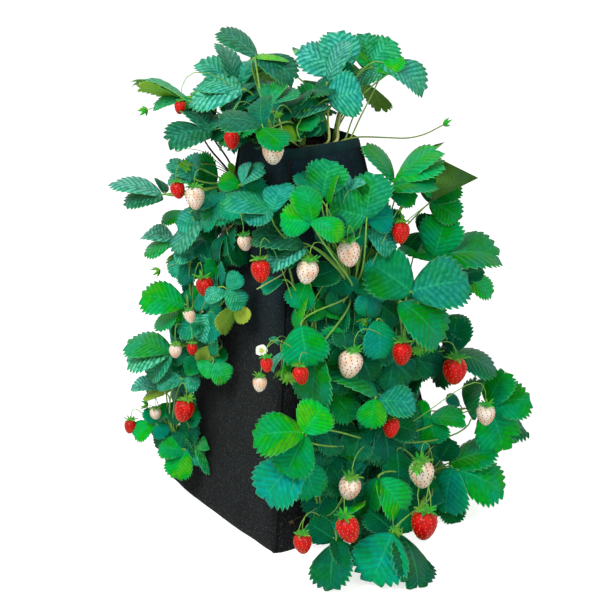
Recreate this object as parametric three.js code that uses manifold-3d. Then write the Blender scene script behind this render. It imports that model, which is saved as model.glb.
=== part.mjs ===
// Strawberry tower: a tapered felt bag of potting mix, planted in its mouth and through slits in three faces.
// Millimetres, +Z up. The origin is the middle of the base, on the floor, and the front face looks along -Y.
import * as THREE from 'three';
import { mergeVertices } from 'three/addons/utils/BufferGeometryUtils.js';
import Module from 'manifold-3d';

const wasm = await Module();
wasm.setup();

// Bag
const height = 600;            // floor to rim
const baseWidth = 350;         // across a face at the floor
const topWidth = 135;          // across a face at the rim
const felt = 3;                // thickness of the felt
const belly = 8;               // how far the filled faces swell at the floor
const rearDrawIn = 18;         // how far the slack rear corners are drawn in
const hemHeight = 14;          // folded top edge
const hemExtra = 1;            // the fold stands this far proud on both sides
const tapeWidth = 12;          // seam tape, each arm
const tapeThick = 1.5;
const tapeSlack = 0.9;         // the felt is stretched this far off its tapes
const soilBelowRim = 24;
const mixSlack = 0.9;          // the mix settles this far in from the tapes
const gap = 0.3;               // clearance between neighbouring pieces

// Planting slits and crowns
const slitWidth = 46;
const slitHeight = 26;
const crownRadius = 9;
const crownRoot = 22;          // length of the root end in the mix
const crownTop = 10;           // how far a crown stands out

// Foliage and fruit
const petioleRadius = 1.6;
const stalkRadius = 1.1;
const leafThick = 1.3;         // at the midrib
const berryLength = 46;        // the largest berry
const berryWidth = 39;
const budRadius = 4;
const flowerRadius = 9;
const flowerThick = 2;
const overrun = 20;            // cutters run on this far past what they cut

// Shares of the sizes above
const bellyAtRimShare = 0.25;
const drawInPowerShare = 0.45;
const leafWideShare = 0.76;    // width of a leaflet by its length
const leafFoldShare = 0.14;    // lift of the leaf edge by its half width
const leafArchShare = 0.07;    // rise of the midrib by its length
const leaveShare = 0.5;        // handle of a stem's curve by its reach, at the crown
const arriveShares = {         // and at its far end
  petiole: 0.2,
  turned: 0.45,                // a petiole that turns round a corner of the bag
  stalk: 0.75,                 // a fruit stalk, which comes down on its calyx
};
const calyxShare = 0.62;       // reach of the calyx by the berry's half width
const slitShares = {           // across and up the face, seen from outside
  front_upper: [0.5, 0.64], front_mid_left: [0.2, 0.44], front_mid_right: [0.8, 0.44],
  front_centre: [0.5, 0.25], front_low_left: [0.2, 0.08], front_low_right: [0.84, 0.09],
  left_upper: [0.24, 0.88], left_mid: [0.14, 0.46], left_low: [0.14, 0.13],
  back_upper: [0.5, 0.64], back_mid: [0.24, 0.44], back_centre: [0.5, 0.25], back_low: [0.2, 0.08],
};
const mouthShares = { top_left: [-0.55, 0.4], top_middle: [-0.05, -0.1], top_right: [0.55, -0.45] };

// The photographed view, which places what it shows: shares of the height, and of the width of its 600-pixel frame
const viewTurn = THREE.MathUtils.degToRad(36);
const viewPitch = THREE.MathUtils.degToRad(20.6);
const viewAwayShare = 3.237;
const viewUpShare = 1.763;
const focalShare = 2.135;
const middleShare = 0.5;
const pixelShare = 1 / 600;
const tiltShare = 0.0008;      // a leaf tip one pixel lower stands this much further out

const group = new THREE.Group();
const paint = (color, roughness) => new THREE.MeshStandardMaterial({ color, roughness, metalness: 0 });
const feltDark = paint('#23282c', 0.95);
const feltTeal = paint('#1c3a3c', 0.95);
const tapeBlack = paint('#15181a', 0.9);
const mixBrown = paint('#3a2a1c', 1);
const leafGreen = paint('#128a3c', 0.6);
const leafTeal = paint('#0d8a6a', 0.6);
const berryRed = paint('#c8141c', 0.35);
const berryWhite = paint('#f5dcc8', 0.45);
const petalWhite = paint('#f7f7f2', 0.7);

const up = new THREE.Vector3(0, 0, 1);
const lerp = THREE.MathUtils.lerp;
const vec = (x, y, z) => new THREE.Vector3(x, y, z);

// The four faces in order round the bag. Each runs from the corner of its own number to the next.
const faces = {
  front: { out: vec(0, -1, 0) },
  right: { out: vec(1, 0, 0) },
  back: { out: vec(0, 1, 0) },
  left: { out: vec(-1, 0, 0) },
};
const around = Object.values(faces);
const cornerSigns = [[-1, -1], [1, -1], [1, 1], [-1, 1]];
const seamNames = ['front_left', 'front_right', 'back_right', 'back_left'];

// Closed geometry to solid: shared corners merged, empty triangles dropped, faces turned outwards
function solid(geometry) {
  geometry.deleteAttribute('normal');
  geometry.deleteAttribute('uv');
  const merged = mergeVertices(geometry, 1e-4);
  const index = merged.index.array;
  const points = merged.attributes.position.array;
  const kept = [];
  let volume = 0;
  const at = (i) => vec(points[3 * i], points[3 * i + 1], points[3 * i + 2]);
  for (let i = 0; i < index.length; i += 3) {
    const [a, b, c] = [index[i], index[i + 1], index[i + 2]];
    if (a === b || b === c || c === a) continue;
    kept.push([a, b, c]);
    volume += at(a).dot(at(b).cross(at(c)));
  }
  const triVerts = new Uint32Array(kept.flatMap(([a, b, c]) => (volume > 0 ? [a, b, c] : [a, c, b])));
  const mesh = new wasm.Mesh({ numProp: 3, vertProperties: new Float32Array(points), triVerts });
  mesh.merge();
  return new wasm.Manifold(mesh);
}

const joined = (solids) => solids.reduce((a, b) => a.add(b));
const largest = (body) => body.decompose().reduce((a, b) => (b.volume() > a.volume() ? b : a));

// Puts a solid into the group as one named mesh
function place(name, body, material) {
  const mesh = body.getMesh();
  const geometry = new THREE.BufferGeometry();
  geometry.setAttribute('position', new THREE.BufferAttribute(mesh.vertProperties, 3));
  geometry.setIndex(new THREE.BufferAttribute(mesh.triVerts, 1));
  geometry.computeVertexNormals();
  const part = new THREE.Mesh(geometry, material);
  part.name = name;
  group.add(part);
}

// Skins a row of loops with the same number of points, and caps both ends or joins the last to the first
function loft(loops, closed = false) {
  const count = loops[0].length;
  const points = loops.flat().flatMap((p) => [p.x, p.y, p.z]);
  const index = [];
  const rows = closed ? loops.length : loops.length - 1;
  for (let row = 0; row < rows; row++) {
    const next = (row + 1) % loops.length;
    for (let i = 0; i < count; i++) {
      const j = (i + 1) % count;
      const [a, b, c, d] = [row * count + i, row * count + j, next * count + j, next * count + i];
      index.push(a, b, c, a, c, d);
    }
  }
  if (!closed) {
    const flat = loops[0].map((p) => new THREE.Vector2(p.x, p.y));
    const last = (loops.length - 1) * count;
    const turned = THREE.ShapeUtils.isClockWise(flat);
    for (const [a, b, c] of THREE.ShapeUtils.triangulateShape(flat, [])) {
      const [p, q] = turned ? [b, c] : [c, b];
      index.push(a, p, q, last + a, last + q, last + p);
    }
  }
  const geometry = new THREE.BufferGeometry();
  geometry.setAttribute('position', new THREE.Float32BufferAttribute(points, 3));
  geometry.setIndex(index);
  return solid(geometry);
}

// Bag surface: t runs from 0 at the floor to 1 at the rim, u from 0 to 1 across a face
const wallLean = (baseWidth - topWidth) / 2 / height;
const halfWidth = (z) => baseWidth / 2 - wallLean * z;

function cornerSpot(corner, t, inset) {
  const rear = cornerSigns[corner][1] > 0;
  const drawn = rear ? rearDrawIn * Math.sin(Math.PI * t ** drawInPowerShare) : 0;
  const reach = halfWidth(t * height) - drawn - inset;
  return vec(cornerSigns[corner][0] * reach, cornerSigns[corner][1] * reach, t * height);
}

// The swell of a face is a parabola, taken in straight steps so that pieces laid against it fit
const acrossSteps = 4;
const upSteps = 5;
function swellShare(u) {
  const step = Math.min(Math.floor(u * acrossSteps), acrossSteps - 1);
  const [low, high] = [step, step + 1].map((k) => 4 * (k / acrossSteps) * (1 - k / acrossSteps));
  return lerp(low, high, u * acrossSteps - step);
}

function wallSpot(face, u, t, inset) {
  const first = around.indexOf(face);
  const [start, end] = [first, (first + 1) % around.length].map((corner) => cornerSpot(corner, t, inset));
  const swell = belly * lerp(1, bellyAtRimShare, t) * swellShare(u);
  return start.lerp(end, u).addScaledVector(face.out, swell);
}

const steps = (count) => Array.from({ length: count + 1 }, (_, i) => i / count);
const levels = (low, high, count = upSteps) => steps(count).map((s) => lerp(low, high, s) / height);
const sectionLoop = (t, inset) => around.flatMap((face) =>
  steps(acrossSteps).slice(0, -1).map((s) => wallSpot(face, s, t, inset)));

// One felt panel, mitred at its two corners
function panel(face) {
  const loops = levels(felt + gap, height - hemHeight - gap).map((t) => {
    const mitre = gap / (2 * halfWidth(t * height));
    const row = steps(acrossSteps).map((s) => lerp(mitre, 1 - mitre, s));
    const outer = row.map((s) => wallSpot(face, s, t, 0));
    const inner = row.map((s) => wallSpot(face, s, t, felt)).reverse();
    return [...outer, ...inner];
  });
  return loft(loops);
}

// L-shaped tape inside a corner, from the base panel to the hem
function seamTape(corner) {
  const [before, after] = [around.at(corner - 1), around[corner]];
  const [near, far] = [felt + tapeSlack, felt + tapeSlack + tapeThick];
  const loops = levels(felt + gap, height - hemHeight - gap).map((t) => {
    const arm = (tapeWidth + felt) / (2 * halfWidth(t * height));
    return [
      wallSpot(before, 1 - arm, t, near), wallSpot(before, 1, t, near), wallSpot(after, arm, t, near),
      wallSpot(after, arm, t, far), wallSpot(before, 1, t, far), wallSpot(before, 1 - arm, t, far),
    ];
  });
  return loft(loops);
}

// Directions at a spot on a face: along it, up its slope and straight out of it
function faceFrame(face) {
  const along = up.clone().cross(face.out).normalize();
  const out = face.out.clone().addScaledVector(up, wallLean).normalize();
  return new THREE.Matrix4().makeBasis(along, out.clone().cross(along), out);
}

function slitCutter(face, [across, rise]) {
  const lens = new THREE.Shape();
  lens.moveTo(-slitWidth / 2, 0);
  lens.quadraticCurveTo(0, slitHeight, slitWidth / 2, 0);
  lens.quadraticCurveTo(0, -slitHeight, -slitWidth / 2, 0);
  const depth = 2 * overrun;
  const geometry = new THREE.ExtrudeGeometry(lens, { depth, bevelEnabled: false, curveSegments: 2 });
  geometry.translate(0, 0, -overrun);
  geometry.applyMatrix4(faceFrame(face).setPosition(wallSpot(face, across, rise, 0)));
  return solid(geometry);
}

// A crown: a tapered plug with its root end in the mix, pointing along `out`
function crownBody(spot, out, grow) {
  const profile = [
    [0, -crownRoot - grow], [crownRadius / 2 + grow, -crownRoot - grow],
    [crownRadius + grow, crownTop + grow], [0, crownTop + grow],
  ].map(([r, y]) => new THREE.Vector2(r, y));
  const geometry = new THREE.LatheGeometry(profile, 6);
  geometry.applyQuaternion(new THREE.Quaternion().setFromUnitVectors(vec(0, 1, 0), out));
  geometry.translate(spot.x, spot.y, spot.z);
  return solid(geometry);
}

// Where a pixel's line of sight meets the plane that stands `out` beyond a face
const sightRight = vec(Math.cos(viewTurn), -Math.sin(viewTurn), 0);
const sightLevel = vec(Math.sin(viewTurn), Math.cos(viewTurn), 0);
const sight = sightLevel.clone().multiplyScalar(Math.cos(viewPitch)).addScaledVector(up, -Math.sin(viewPitch));
const sightUp = sightRight.clone().cross(sight);
const eye = sightLevel.clone().multiplyScalar(-viewAwayShare * height).addScaledVector(up, viewUpShare * height);

const sightRay = (px, py) => sight.clone()
  .addScaledVector(sightRight, (px * pixelShare - middleShare) / focalShare)
  .addScaledVector(sightUp, (middleShare - py * pixelShare) / focalShare);

function spot(face, [px, py, outShare]) {
  const ray = sightRay(px, py);
  const reach = halfWidth(eye.z) + outShare * height - eye.dot(face.out);
  return eye.clone().addScaledVector(ray, reach / (ray.dot(face.out) + wallLean * ray.z));
}

// A three-sided tube along a path
function tube(extrudePath, count, radius) {
  const section = new THREE.Shape([0, 1, 2].map((i) => {
    const angle = i * Math.PI * 2 / 3;
    return new THREE.Vector2(Math.cos(angle) * radius, Math.sin(angle) * radius);
  }));
  return solid(new THREE.ExtrudeGeometry(section, { steps: count, extrudePath }));
}

// A stem along a curve from one spot to another, leaving along `out` and arriving along `into`
const stemBends = { petiole: 2, turned: 3, stalk: 4 };
function stem(from, out, to, into, radius, kind) {
  const far = from.distanceTo(to);
  const curve = new THREE.CubicBezierCurve3(
    from, from.clone().addScaledVector(out, far * leaveShare),
    to.clone().addScaledVector(into, -far * arriveShares[kind]), to);
  return tube(new THREE.CatmullRomCurve3(curve.getPoints(stemBends[kind])), stemBends[kind], radius);
}

// Half of a leaflet's toothed outline: along its length and across its half width, from base to tip
const halfLeafShares = [[0, 0], [0.52, 0.95], [0.85, 0.78], [1, 0]];
const spineShares = [[0.5, 0]];
const halfLeaf = [...halfLeafShares, ...spineShares].map(([a, b]) => new THREE.Vector2(a, b));
const halfLeafFaces = THREE.ShapeUtils.triangulateShape(halfLeaf, []);

// One leaflet from base to tip, thick at its midrib, thin at its edge, folded up and arched. It starts behind its
// base, so that the leaflets of a leaf cross there.
function leaflet(base, tip, facing, wideShare, grow = 0) {
  const length = base.distanceTo(tip) + petioleRadius + 2 * grow;
  const along = tip.clone().sub(base).normalize();
  const normal = facing.clone().addScaledVector(along, -facing.dot(along)).normalize();
  const side = along.clone().cross(normal);
  const half = length * wideShare / 2 + grow;
  const start = base.clone().addScaledVector(along, -petioleRadius - grow);
  const points = [];
  const index = [];
  const rim = halfLeafShares.length;
  const point = (k, hand, face) => {
    const { x: a, y: b } = halfLeaf[k];
    const skin = k > 0 && k < rim ? grow : leafThick / 2 + grow;
    const lift = leafFoldShare * b * half + leafArchShare * length * 4 * a * (1 - a) + face * skin;
    const p = start.clone().addScaledVector(along, a * length)
      .addScaledVector(side, hand * b * half).addScaledVector(normal, lift);
    points.push(p.x, p.y, p.z);
    return points.length / 3 - 1;
  };
  for (const hand of [1, -1]) {
    for (const face of [1, -1]) {
      for (const corners of halfLeafFaces) {
        const [a, b, c] = corners.map((k) => point(k, hand, face));
        index.push(...(hand * face > 0 ? [a, b, c] : [a, c, b]));
      }
    }
    for (let k = 0; k + 1 < rim; k++) {
      const [a, b] = [point(k, hand, 1), point(k + 1, hand, 1)];
      const [c, d] = [point(k + 1, hand, -1), point(k, hand, -1)];
      index.push(...(hand > 0 ? [a, b, c, a, c, d] : [b, a, c, a, d, c]));
    }
  }
  const geometry = new THREE.BufferGeometry();
  geometry.setAttribute('position', new THREE.Float32BufferAttribute(points, 3));
  geometry.setIndex(index);
  return solid(geometry);
}

// A berry hangs below its calyx; `size` is its share of the largest berry
function berryBody(top, down, size, grow = 0) {
  const long = berryLength * size;
  const wide = berryWidth * size / 2;
  const profile = [[0, 0], [0.7, 0], [1, 0.3], [0.66, 0.75], [0, 1]].map(([r, y]) =>
    new THREE.Vector2(r ? r * wide + grow : 0, y * long + (y > 0.5 ? grow : 0) - (y ? 0 : grow)));
  const geometry = new THREE.LatheGeometry(profile, 6);
  geometry.applyQuaternion(new THREE.Quaternion().setFromUnitVectors(vec(0, 1, 0), down));
  geometry.translate(top.x, top.y, top.z);
  return solid(geometry);
}

function calyxBody(top, down, size, grow = 0) {
  const reach = berryWidth * size / 2 * calyxShare + grow;
  const profile = [[0, -stalkRadius - grow], [reach, 0], [0, stalkRadius + grow]].map(([r, y]) =>
    new THREE.Vector2(r, y));
  const geometry = new THREE.LatheGeometry(profile, 5);
  geometry.applyQuaternion(new THREE.Quaternion().setFromUnitVectors(vec(0, 1, 0), down));
  geometry.translate(top.x, top.y, top.z);
  return solid(geometry);
}

// A leaf: [px, py, out share] of the spot where its leaflets meet, then [px, py, nearer share] of each tip
const leaf = (face, junction, ...tips) => ({ face: faces[face], junction, tips });
// A berry: [px, py, out share] of its middle and its share of the largest berry
const red = (face, middle, size) => ({ face: faces[face], middle, size, material: berryRed });
const white = (face, middle, size) => ({ face: faces[face], middle, size, material: berryWhite });
// A leaf on a side that the photograph hides: shares across and up the face and out from it, then its length
const fan = (face, across, rise, outShare, longShare) => ({ face: faces[face], across, rise, outShare, longShare });

const plants = {
  top_left: {
    leaves: [
      leaf('front', [257, 56, -0.06], [221, 31], [283, 57, -0.05], [294, 79]),
      leaf('left', [235, 86, 0.03], [200, 61], [215, 47], [252, 60, -0.04]),
      leaf('left', [191, 98, 0.16], [134, 83], [156, 103]),
      leaf('left', [211, 130, 0.14], [187, 109, -0.03], [169, 139, 0.04], [222, 113, -0.04]),
    ],
    berries: [red('left', [181, 107, 0.2], 0.43), red('left', [231, 139, 0.14], 0.56)],
  },
  top_middle: {
    leaves: [
      leaf('front', [258, 126, 0.08], [220, 121], [260, 99, -0.03], [283, 146, 0.02]),
      leaf('front', [305, 136, -0.02], [284, 128], [318, 124]),
      leaf('front', [327, 100, -0.02], [297, 88], [293, 111, 0.03], [356, 100, 0.04]),
      leaf('front', [324, 76, -0.05], [301, 54], [328, 33, -0.05], [346, 43]),
    ],
    berries: [white('front', [273, 152, 0.06], 0.74)],
  },
  top_right: {
    leaves: [
      leaf('front', [371, 65, -0.08], [349, 41], [381, 34, -0.04], [397, 55]),
      leaf('front', [387, 70, -0.03], [358, 81], [405, 80, 0.06], [424, 89]),
      fan('right', 0.6, 1.1, 0.16, 0.1),
      fan('back', 0.45, 1.14, 0.1, 0.11),
    ],
    berries: [],
  },
  front_upper: {
    leaves: [
      leaf('front', [319, 197, 0.09], [297, 177], [330, 162], [341, 177, 0.03]),
      leaf('front', [366, 216, 0.13], [330, 206], [373, 173], [394, 220, 0.02]),
      leaf('front', [314, 221, 0.15], [281, 221], [303, 186], [340, 238, 0.02]),
      leaf('front', [394, 181, 0.06], [367, 145], [436, 149], [443, 164, 0.03]),
      leaf('front', [431, 202, 0.07], [436, 171, -0.03], [457, 183], [459, 220, 0.02]),
      leaf('front', [304, 328, 0.11], [300, 364], [318, 404]),
    ],
    berries: [
      white('front', [347, 253, 0.17], 0.8), white('front', [309.5, 271.5, 0.13], 0.76),
      red('front', [401, 231.5, 0.15], 0.68),
    ],
  },
  front_mid_left: {
    leaves: [
      leaf('front', [272, 211, 0.08], [226, 197], [284, 184, -0.03], [246, 222, 0.03]),
      leaf('front', [303, 243, 0.1], [254, 236], [271, 271, 0.02]),
      leaf('front', [308, 289, 0.07], [286, 303], [337, 270, -0.02]),
      leaf('front', [283, 342, 0.07], [270, 340], [273, 369]),
    ],
    berries: [
      red('front', [260, 270, 0.07], 0.7), red('front', [266, 364, 0.1], 0.45),
      red('front', [299, 374.5, 0.13], 0.58), white('front', [260.5, 383.5, 0.06], 0.5),
    ],
  },
  front_mid_right: {
    leaves: [
      leaf('front', [434, 256, 0.1], [405, 242, -0.03], [443, 217], [499, 257]),
      leaf('front', [405, 297, 0.17], [371, 262], [467, 280], [434, 341]),
      leaf('front', [452, 352, 0.1], [456, 317], [494, 372], [440, 388]),
    ],
    berries: [
      red('front', [403, 352, 0.17], 0.74), red('front', [455.5, 371, 0.17], 0.95),
      white('front', [353, 363, 0.14], 0.87),
    ],
  },
  front_centre: {
    leaves: [
      leaf('front', [374, 398, 0.17], [334, 372], [371, 426, 0.02], [414, 405]),
      leaf('front', [306, 433, 0.14], [255, 436], [323, 405], [284, 474]),
      leaf('front', [486, 407, 0.13], [504, 371], [530, 398], [503, 450]),
    ],
    berries: [
      red('front', [391.5, 426, 0.18], 0.65), white('front', [351.5, 488.5, 0.15], 0.8),
      white('front', [485.5, 414, 0.18], 0.72),
    ],
  },
  front_low_left: {
    leaves: [
      leaf('front', [298, 459, 0.1], [263, 497], [312, 495]),
      leaf('front', [335, 541, 0.18], [313, 528], [331, 586, 0.05], [352, 563, 0.04]),
    ],
    berries: [red('front', [302, 543, 0.17], 0.68), red('front', [344, 528, 0.24], 0.84)],
  },
  front_low_right: {
    leaves: [
      leaf('front', [376, 478, 0.14], [364, 508], [405, 514]),
      leaf('front', [430, 418, 0.1], [413, 407], [434, 442], [464, 420]),
      leaf('front', [461, 466, 0.15], [494, 449], [500, 494], [448, 512]),
      leaf('front', [394, 531, 0.24], [369, 511], [371, 581, 0.04], [419, 587, 0.05]),
    ],
    berries: [red('front', [425, 524, 0.24], 1), white('front', [420, 473, 0.3], 0.92)],
  },
  left_upper: {
    leaves: [
      leaf('left', [161, 194, 0.18], [112, 183], [126, 204, 0.03], [166, 178, -0.03]),
      leaf('left', [192, 178, 0.12], [195, 155], [170, 163], [169, 182]),
      leaf('left', [172, 238, 0.12], [142, 225, -0.03], [145, 252]),
      leaf('left', [206, 213, 0.07], [181, 234], [175, 254, 0.03]),
      leaf('left', [229, 234, 0.07], [216, 262, -0.03], [241, 267]),
      leaf('left', [240, 185, 0.08], [219, 181], [248, 162], [263, 167, 0.03]),
    ],
    berries: [
      red('left', [176, 190, 0.2], 0.56), white('left', [194.5, 196.5, 0.17], 0.7),
      white('left', [244, 243, 0.08], 0.54),
    ],
  },
  left_mid: {
    leaves: [
      leaf('left', [226, 293, 0.1], [206, 303], [241, 275], [245, 307]),
      leaf('left', [187, 304, 0.13], [142, 294], [157, 331, 0.03], [177, 325]),
      leaf('left', [170, 351, 0.13], [128, 344, -0.02], [131, 369, 0.03], [150, 377]),
      leaf('left', [204, 363, 0.07], [184, 369], [228, 349], [225, 383]),
    ],
    berries: [
      red('left', [203, 287, 0.12], 0.7), red('left', [192.5, 349, 0.13], 0.43),
      white('left', [188.5, 316, 0.15], 0.43), white('left', [175.5, 351, 0.17], 0.47),
    ],
  },
  left_low: {
    leaves: [
      leaf('left', [182, 377, 0.11], [159, 383], [197, 384]),
      leaf('left', [166, 391, 0.12], [132, 391], [144, 400]),
      leaf('left', [154, 425, 0.11], [135, 439], [162, 439], [146, 409]),
      leaf('left', [184, 451, 0.05], [159, 451], [171, 476, 0.02], [202, 462]),
      leaf('left', [196, 448, 0.03], [211, 443], [216, 466]),
    ],
    berries: [
      red('left', [187.5, 410, 0.12], 0.8), red('left', [131.5, 426, 0.15], 0.5),
      white('left', [155.5, 414, 0.13], 0.45),
    ],
  },
  back_upper: {
    leaves: [fan('back', 0.25, 0.78, 0.14, 0.12), fan('back', 0.6, 0.62, 0.2, 0.12)],
    berries: [],
  },
  back_mid: {
    leaves: [
      fan('back', 0.04, 0.52, 0.14, 0.12), fan('back', 0.32, 0.42, 0.2, 0.12),
      fan('right', 0.85, 0.4, 0.12, 0.1),
    ],
    berries: [],
  },
  back_centre: {
    leaves: [fan('back', 0.38, 0.3, 0.16, 0.12), fan('back', 0.7, 0.24, 0.16, 0.12)],
    berries: [],
  },
  back_low: {
    leaves: [fan('back', 0.3, 0.14, 0.2, 0.12), fan('right', 0.88, 0.18, 0.14, 0.11)],
    berries: [],
  },
};

// A thin runner climbs out of the mouth, lies over the rim and ends in a bud
const runner = { plant: 'top_right', bends: [[350, 133, 0], [378, 133, 0.01], [410, 135, 0.02], [446, 122, 0.02]] };
const flower = { plant: 'front_mid_left', at: [261.5, 351, 0.08] };
const soilTop = height - soilBelowRim;

function crownOf(name) {
  if (name in mouthShares) {
    const [x, y] = mouthShares[name].map((share) => share * (halfWidth(soilTop) - felt));
    return { spot: vec(x, y, soilTop), out: up };
  }
  const face = faces[name.split('_')[0]];
  const [across, rise] = slitShares[name];
  return { spot: wallSpot(face, across, rise, 0), out: face.out };
}

// The spot that a pixel shows, level with another spot as seen by the camera, or nearer to it
function spotBeside(origin, originPixel, [px, py, nearerShare = 0]) {
  const ray = sightRay(px, py);
  const nearer = (nearerShare + tiltShare * (py - originPixel[1])) * height;
  const reach = origin.clone().sub(eye).dot(sightLevel) - nearer;
  return eye.clone().addScaledVector(ray, reach / ray.dot(sightLevel));
}

// Junction, tips and the way a leaf faces, from its row in the table
const fanTurn = THREE.MathUtils.degToRad(68);
const fanDroopShare = 0.15;
const photoFacing = up.clone().addScaledVector(sightLevel, -1.2).normalize();
function settle(row, crown) {
  if (row.tips) {
    const junction = spot(row.face, row.junction);
    const tips = row.tips.map((tip) => spotBeside(junction, row.junction, tip));
    return { junction, tips, facing: photoFacing };
  }
  const junction = wallSpot(row.face, row.across, row.rise, -row.outShare * height);
  const facing = row.face.out.clone().add(up).normalize();
  const ahead = junction.clone().sub(crown.spot);
  ahead.addScaledVector(facing, -ahead.dot(facing)).normalize();
  const tips = [-fanTurn, 0, fanTurn].map((turn) => junction.clone()
    .addScaledVector(ahead.clone().applyAxisAngle(facing, turn), row.longShare * height)
    .addScaledVector(facing, -Math.abs(turn) * fanDroopShare * row.longShare * height));
  return { junction, tips, facing };
}

// Berries first: stalks and leaves keep clear of them
const down = vec(0, 0, -1);
const fruit = [];
for (const [name, { berries }] of Object.entries(plants)) {
  berries.forEach(({ face, middle, size, material }, i) => {
    const top = spot(face, middle).addScaledVector(up, berryLength * size / 2);
    const kind = material === berryRed ? 'red' : 'white';
    fruit.push({ plant: name, name: `berry_${kind}_${name}_${i + 1}`, face, top, size, material });
  });
}
for (const berry of fruit) place(berry.name, berryBody(berry.top, down, berry.size), berry.material);
const berriesClear = joined(fruit.map(({ top, size }) => berryBody(top, down, size, gap)));

function discBody(spot, out, radius, thick, grow = 0) {
  const profile = [[0, -thick / 2 - grow], [radius + grow, 0], [0, thick / 2 + grow]].map(([r, y]) =>
    new THREE.Vector2(r, y));
  const geometry = new THREE.LatheGeometry(profile, 8);
  geometry.applyQuaternion(new THREE.Quaternion().setFromUnitVectors(vec(0, 1, 0), out));
  geometry.translate(spot.x, spot.y, spot.z);
  return solid(geometry);
}
const flowerSpot = spot(faces.front, flower.at);
place('flower', discBody(flowerSpot, photoFacing, flowerRadius, flowerThick), petalWhite);
const flowerClear = discBody(flowerSpot, photoFacing, flowerRadius, flowerThick, gap);

// The bag as one closed block for the foliage to keep clear of, open above the mix in its mouth
const bagOutside = loft(levels(-gap, height + gap, upSteps).map((t) => sectionLoop(Math.max(t, 0), -hemExtra - gap)
  .map((p) => p.setZ(t * height))));
const mouth = loft([(soilTop + gap) / height, 1 + overrun / height].map((t) =>
  sectionLoop(Math.min(t, 1), felt + hemExtra + gap).map((p) => p.setZ(t * height))));
const bagClear = bagOutside.subtract(mouth);

// Stems of a plant: its petioles, fruit stalks and calyxes, each from its own side of the crown's top
function stemsOf(name, grow) {
  const crown = crownOf(name);
  const middleTop = crown.spot.clone().addScaledVector(crown.out, crownTop - 2 * petioleRadius);
  const parts = [];
  const sprout = (to, into, radius, kind) => {
    const aside = to.clone().sub(middleTop);
    aside.addScaledVector(crown.out, -aside.dot(crown.out)).setLength(crownRadius - 2 * radius);
    parts.push(stem(middleTop.clone().add(aside), crown.out, to, into, radius + grow, kind));
  };
  const turned = (face) => crown.out !== up && face.out !== crown.out;
  for (const row of plants[name].leaves) {
    const { junction, tips } = settle(row, crown);
    const ahead = tips[Math.floor(tips.length / 2)].clone().sub(junction).normalize();
    const end = junction.clone().addScaledVector(ahead, petioleRadius);
    if (turned(row.face)) sprout(end, row.face.out.clone().negate(), petioleRadius, 'turned');
    else sprout(end, ahead, petioleRadius, 'petiole');
  }
  for (const { top, size, face } of fruit.filter((berry) => berry.plant === name)) {
    const nod = top.clone().addScaledVector(up, stalkRadius + gap);
    sprout(nod, down, stalkRadius, 'stalk');
    parts.push(calyxBody(nod, down, size, grow));
  }
  if (name === flower.plant) {
    const seat = flowerSpot.clone().addScaledVector(photoFacing, -gap);
    sprout(seat, photoFacing, stalkRadius, 'petiole');
  }
  if (name === runner.plant) {
    const bends = runner.bends.map((bend) => spot(faces.front, bend));
    const path = new THREE.CatmullRomCurve3([middleTop, ...bends]);
    parts.push(tube(path, 2 * bends.length, stalkRadius + grow));
    parts.push(discBody(bends.at(-1), sightRight, budRadius, 2 * budRadius, grow));
  }
  return joined(parts);
}

function bladesOf(name, grow) {
  const crown = crownOf(name);
  return joined(plants[name].leaves.flatMap((row) => {
    const { junction, tips, facing } = settle(row, crown);
    return tips.map((tip) => leaflet(junction, tip, facing, leafWideShare, grow));
  }));
}

const names = Object.keys(plants);
const crowns = names.map(crownOf);
const stemsClear = names.map((name) => stemsOf(name, gap));
const soilClear = [];
let bladesBefore = null;
let stemsBefore = null;
names.forEach((name, i) => {
  const { spot: foot, out } = crowns[i];
  const crown = crownBody(foot, out, 0);
  const others = joined([berriesClear, flowerClear, bagClear]);
  const otherStems = joined(stemsClear.filter((_, k) => k !== i));
  let stems = stemsOf(name, 0).subtract(others);
  if (stemsBefore) stems = stems.subtract(stemsBefore);
  let blades = bladesOf(name, 0).subtract(others).subtract(otherStems);
  if (bladesBefore) blades = blades.subtract(bladesBefore);
  const whole = crown.add(stems).add(blades);
  place(`plant_${name}`, largest(whole), out === faces.left.out ? leafTeal : leafGreen);
  stemsBefore = stemsBefore ? stemsBefore.add(stemsClear[i]) : stemsClear[i];
  bladesBefore = bladesBefore ? bladesBefore.add(bladesOf(name, gap)) : bladesOf(name, gap);
  soilClear.push(crownBody(foot, out, gap));
});

// The bag itself
for (const [name, face] of Object.entries(faces)) {
  let body = panel(face);
  for (const [plant, shares] of Object.entries(slitShares)) {
    if (plant.startsWith(name)) body = body.subtract(slitCutter(face, shares));
  }
  place(`felt_panel_${name}`, body, name === 'left' ? feltTeal : feltDark);
}
seamNames.forEach((name, corner) => place(`seam_tape_${name}`, seamTape(corner), tapeBlack));
const floor = sectionLoop(0, 0);
place('base_panel', loft([0, felt].map((z) => floor.map((p) => p.clone().setZ(z)))), feltDark);
const hemLow = 1 - hemHeight / height;
place('rim_hem', loft([[hemLow, -hemExtra], [1, -hemExtra], [1, felt + hemExtra], [hemLow, felt + hemExtra]]
  .map(([t, inset]) => sectionLoop(t, inset)), true), feltTeal);

// Potting mix fills the bag inside the seam tapes, with a socket for each crown
const mixInset = felt + tapeSlack + tapeThick + mixSlack;
const mix = loft(levels(felt + gap, soilTop).map((t) => sectionLoop(t, mixInset)));
place('potting_mix', mix.subtract(joined(soilClear)), mixBrown);

export default group;
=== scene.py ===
"""Strawberry tower: a tapered felt bag of potting mix with strawberry plants in its mouth and slits.

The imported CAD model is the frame. Every soft solid in it, which is the bag, the plants, the berries and the flower,
is replaced by a detailed piece in the same place. Metres, +Z up, the planted front face looks along -Y.
"""

from __future__ import annotations

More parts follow.
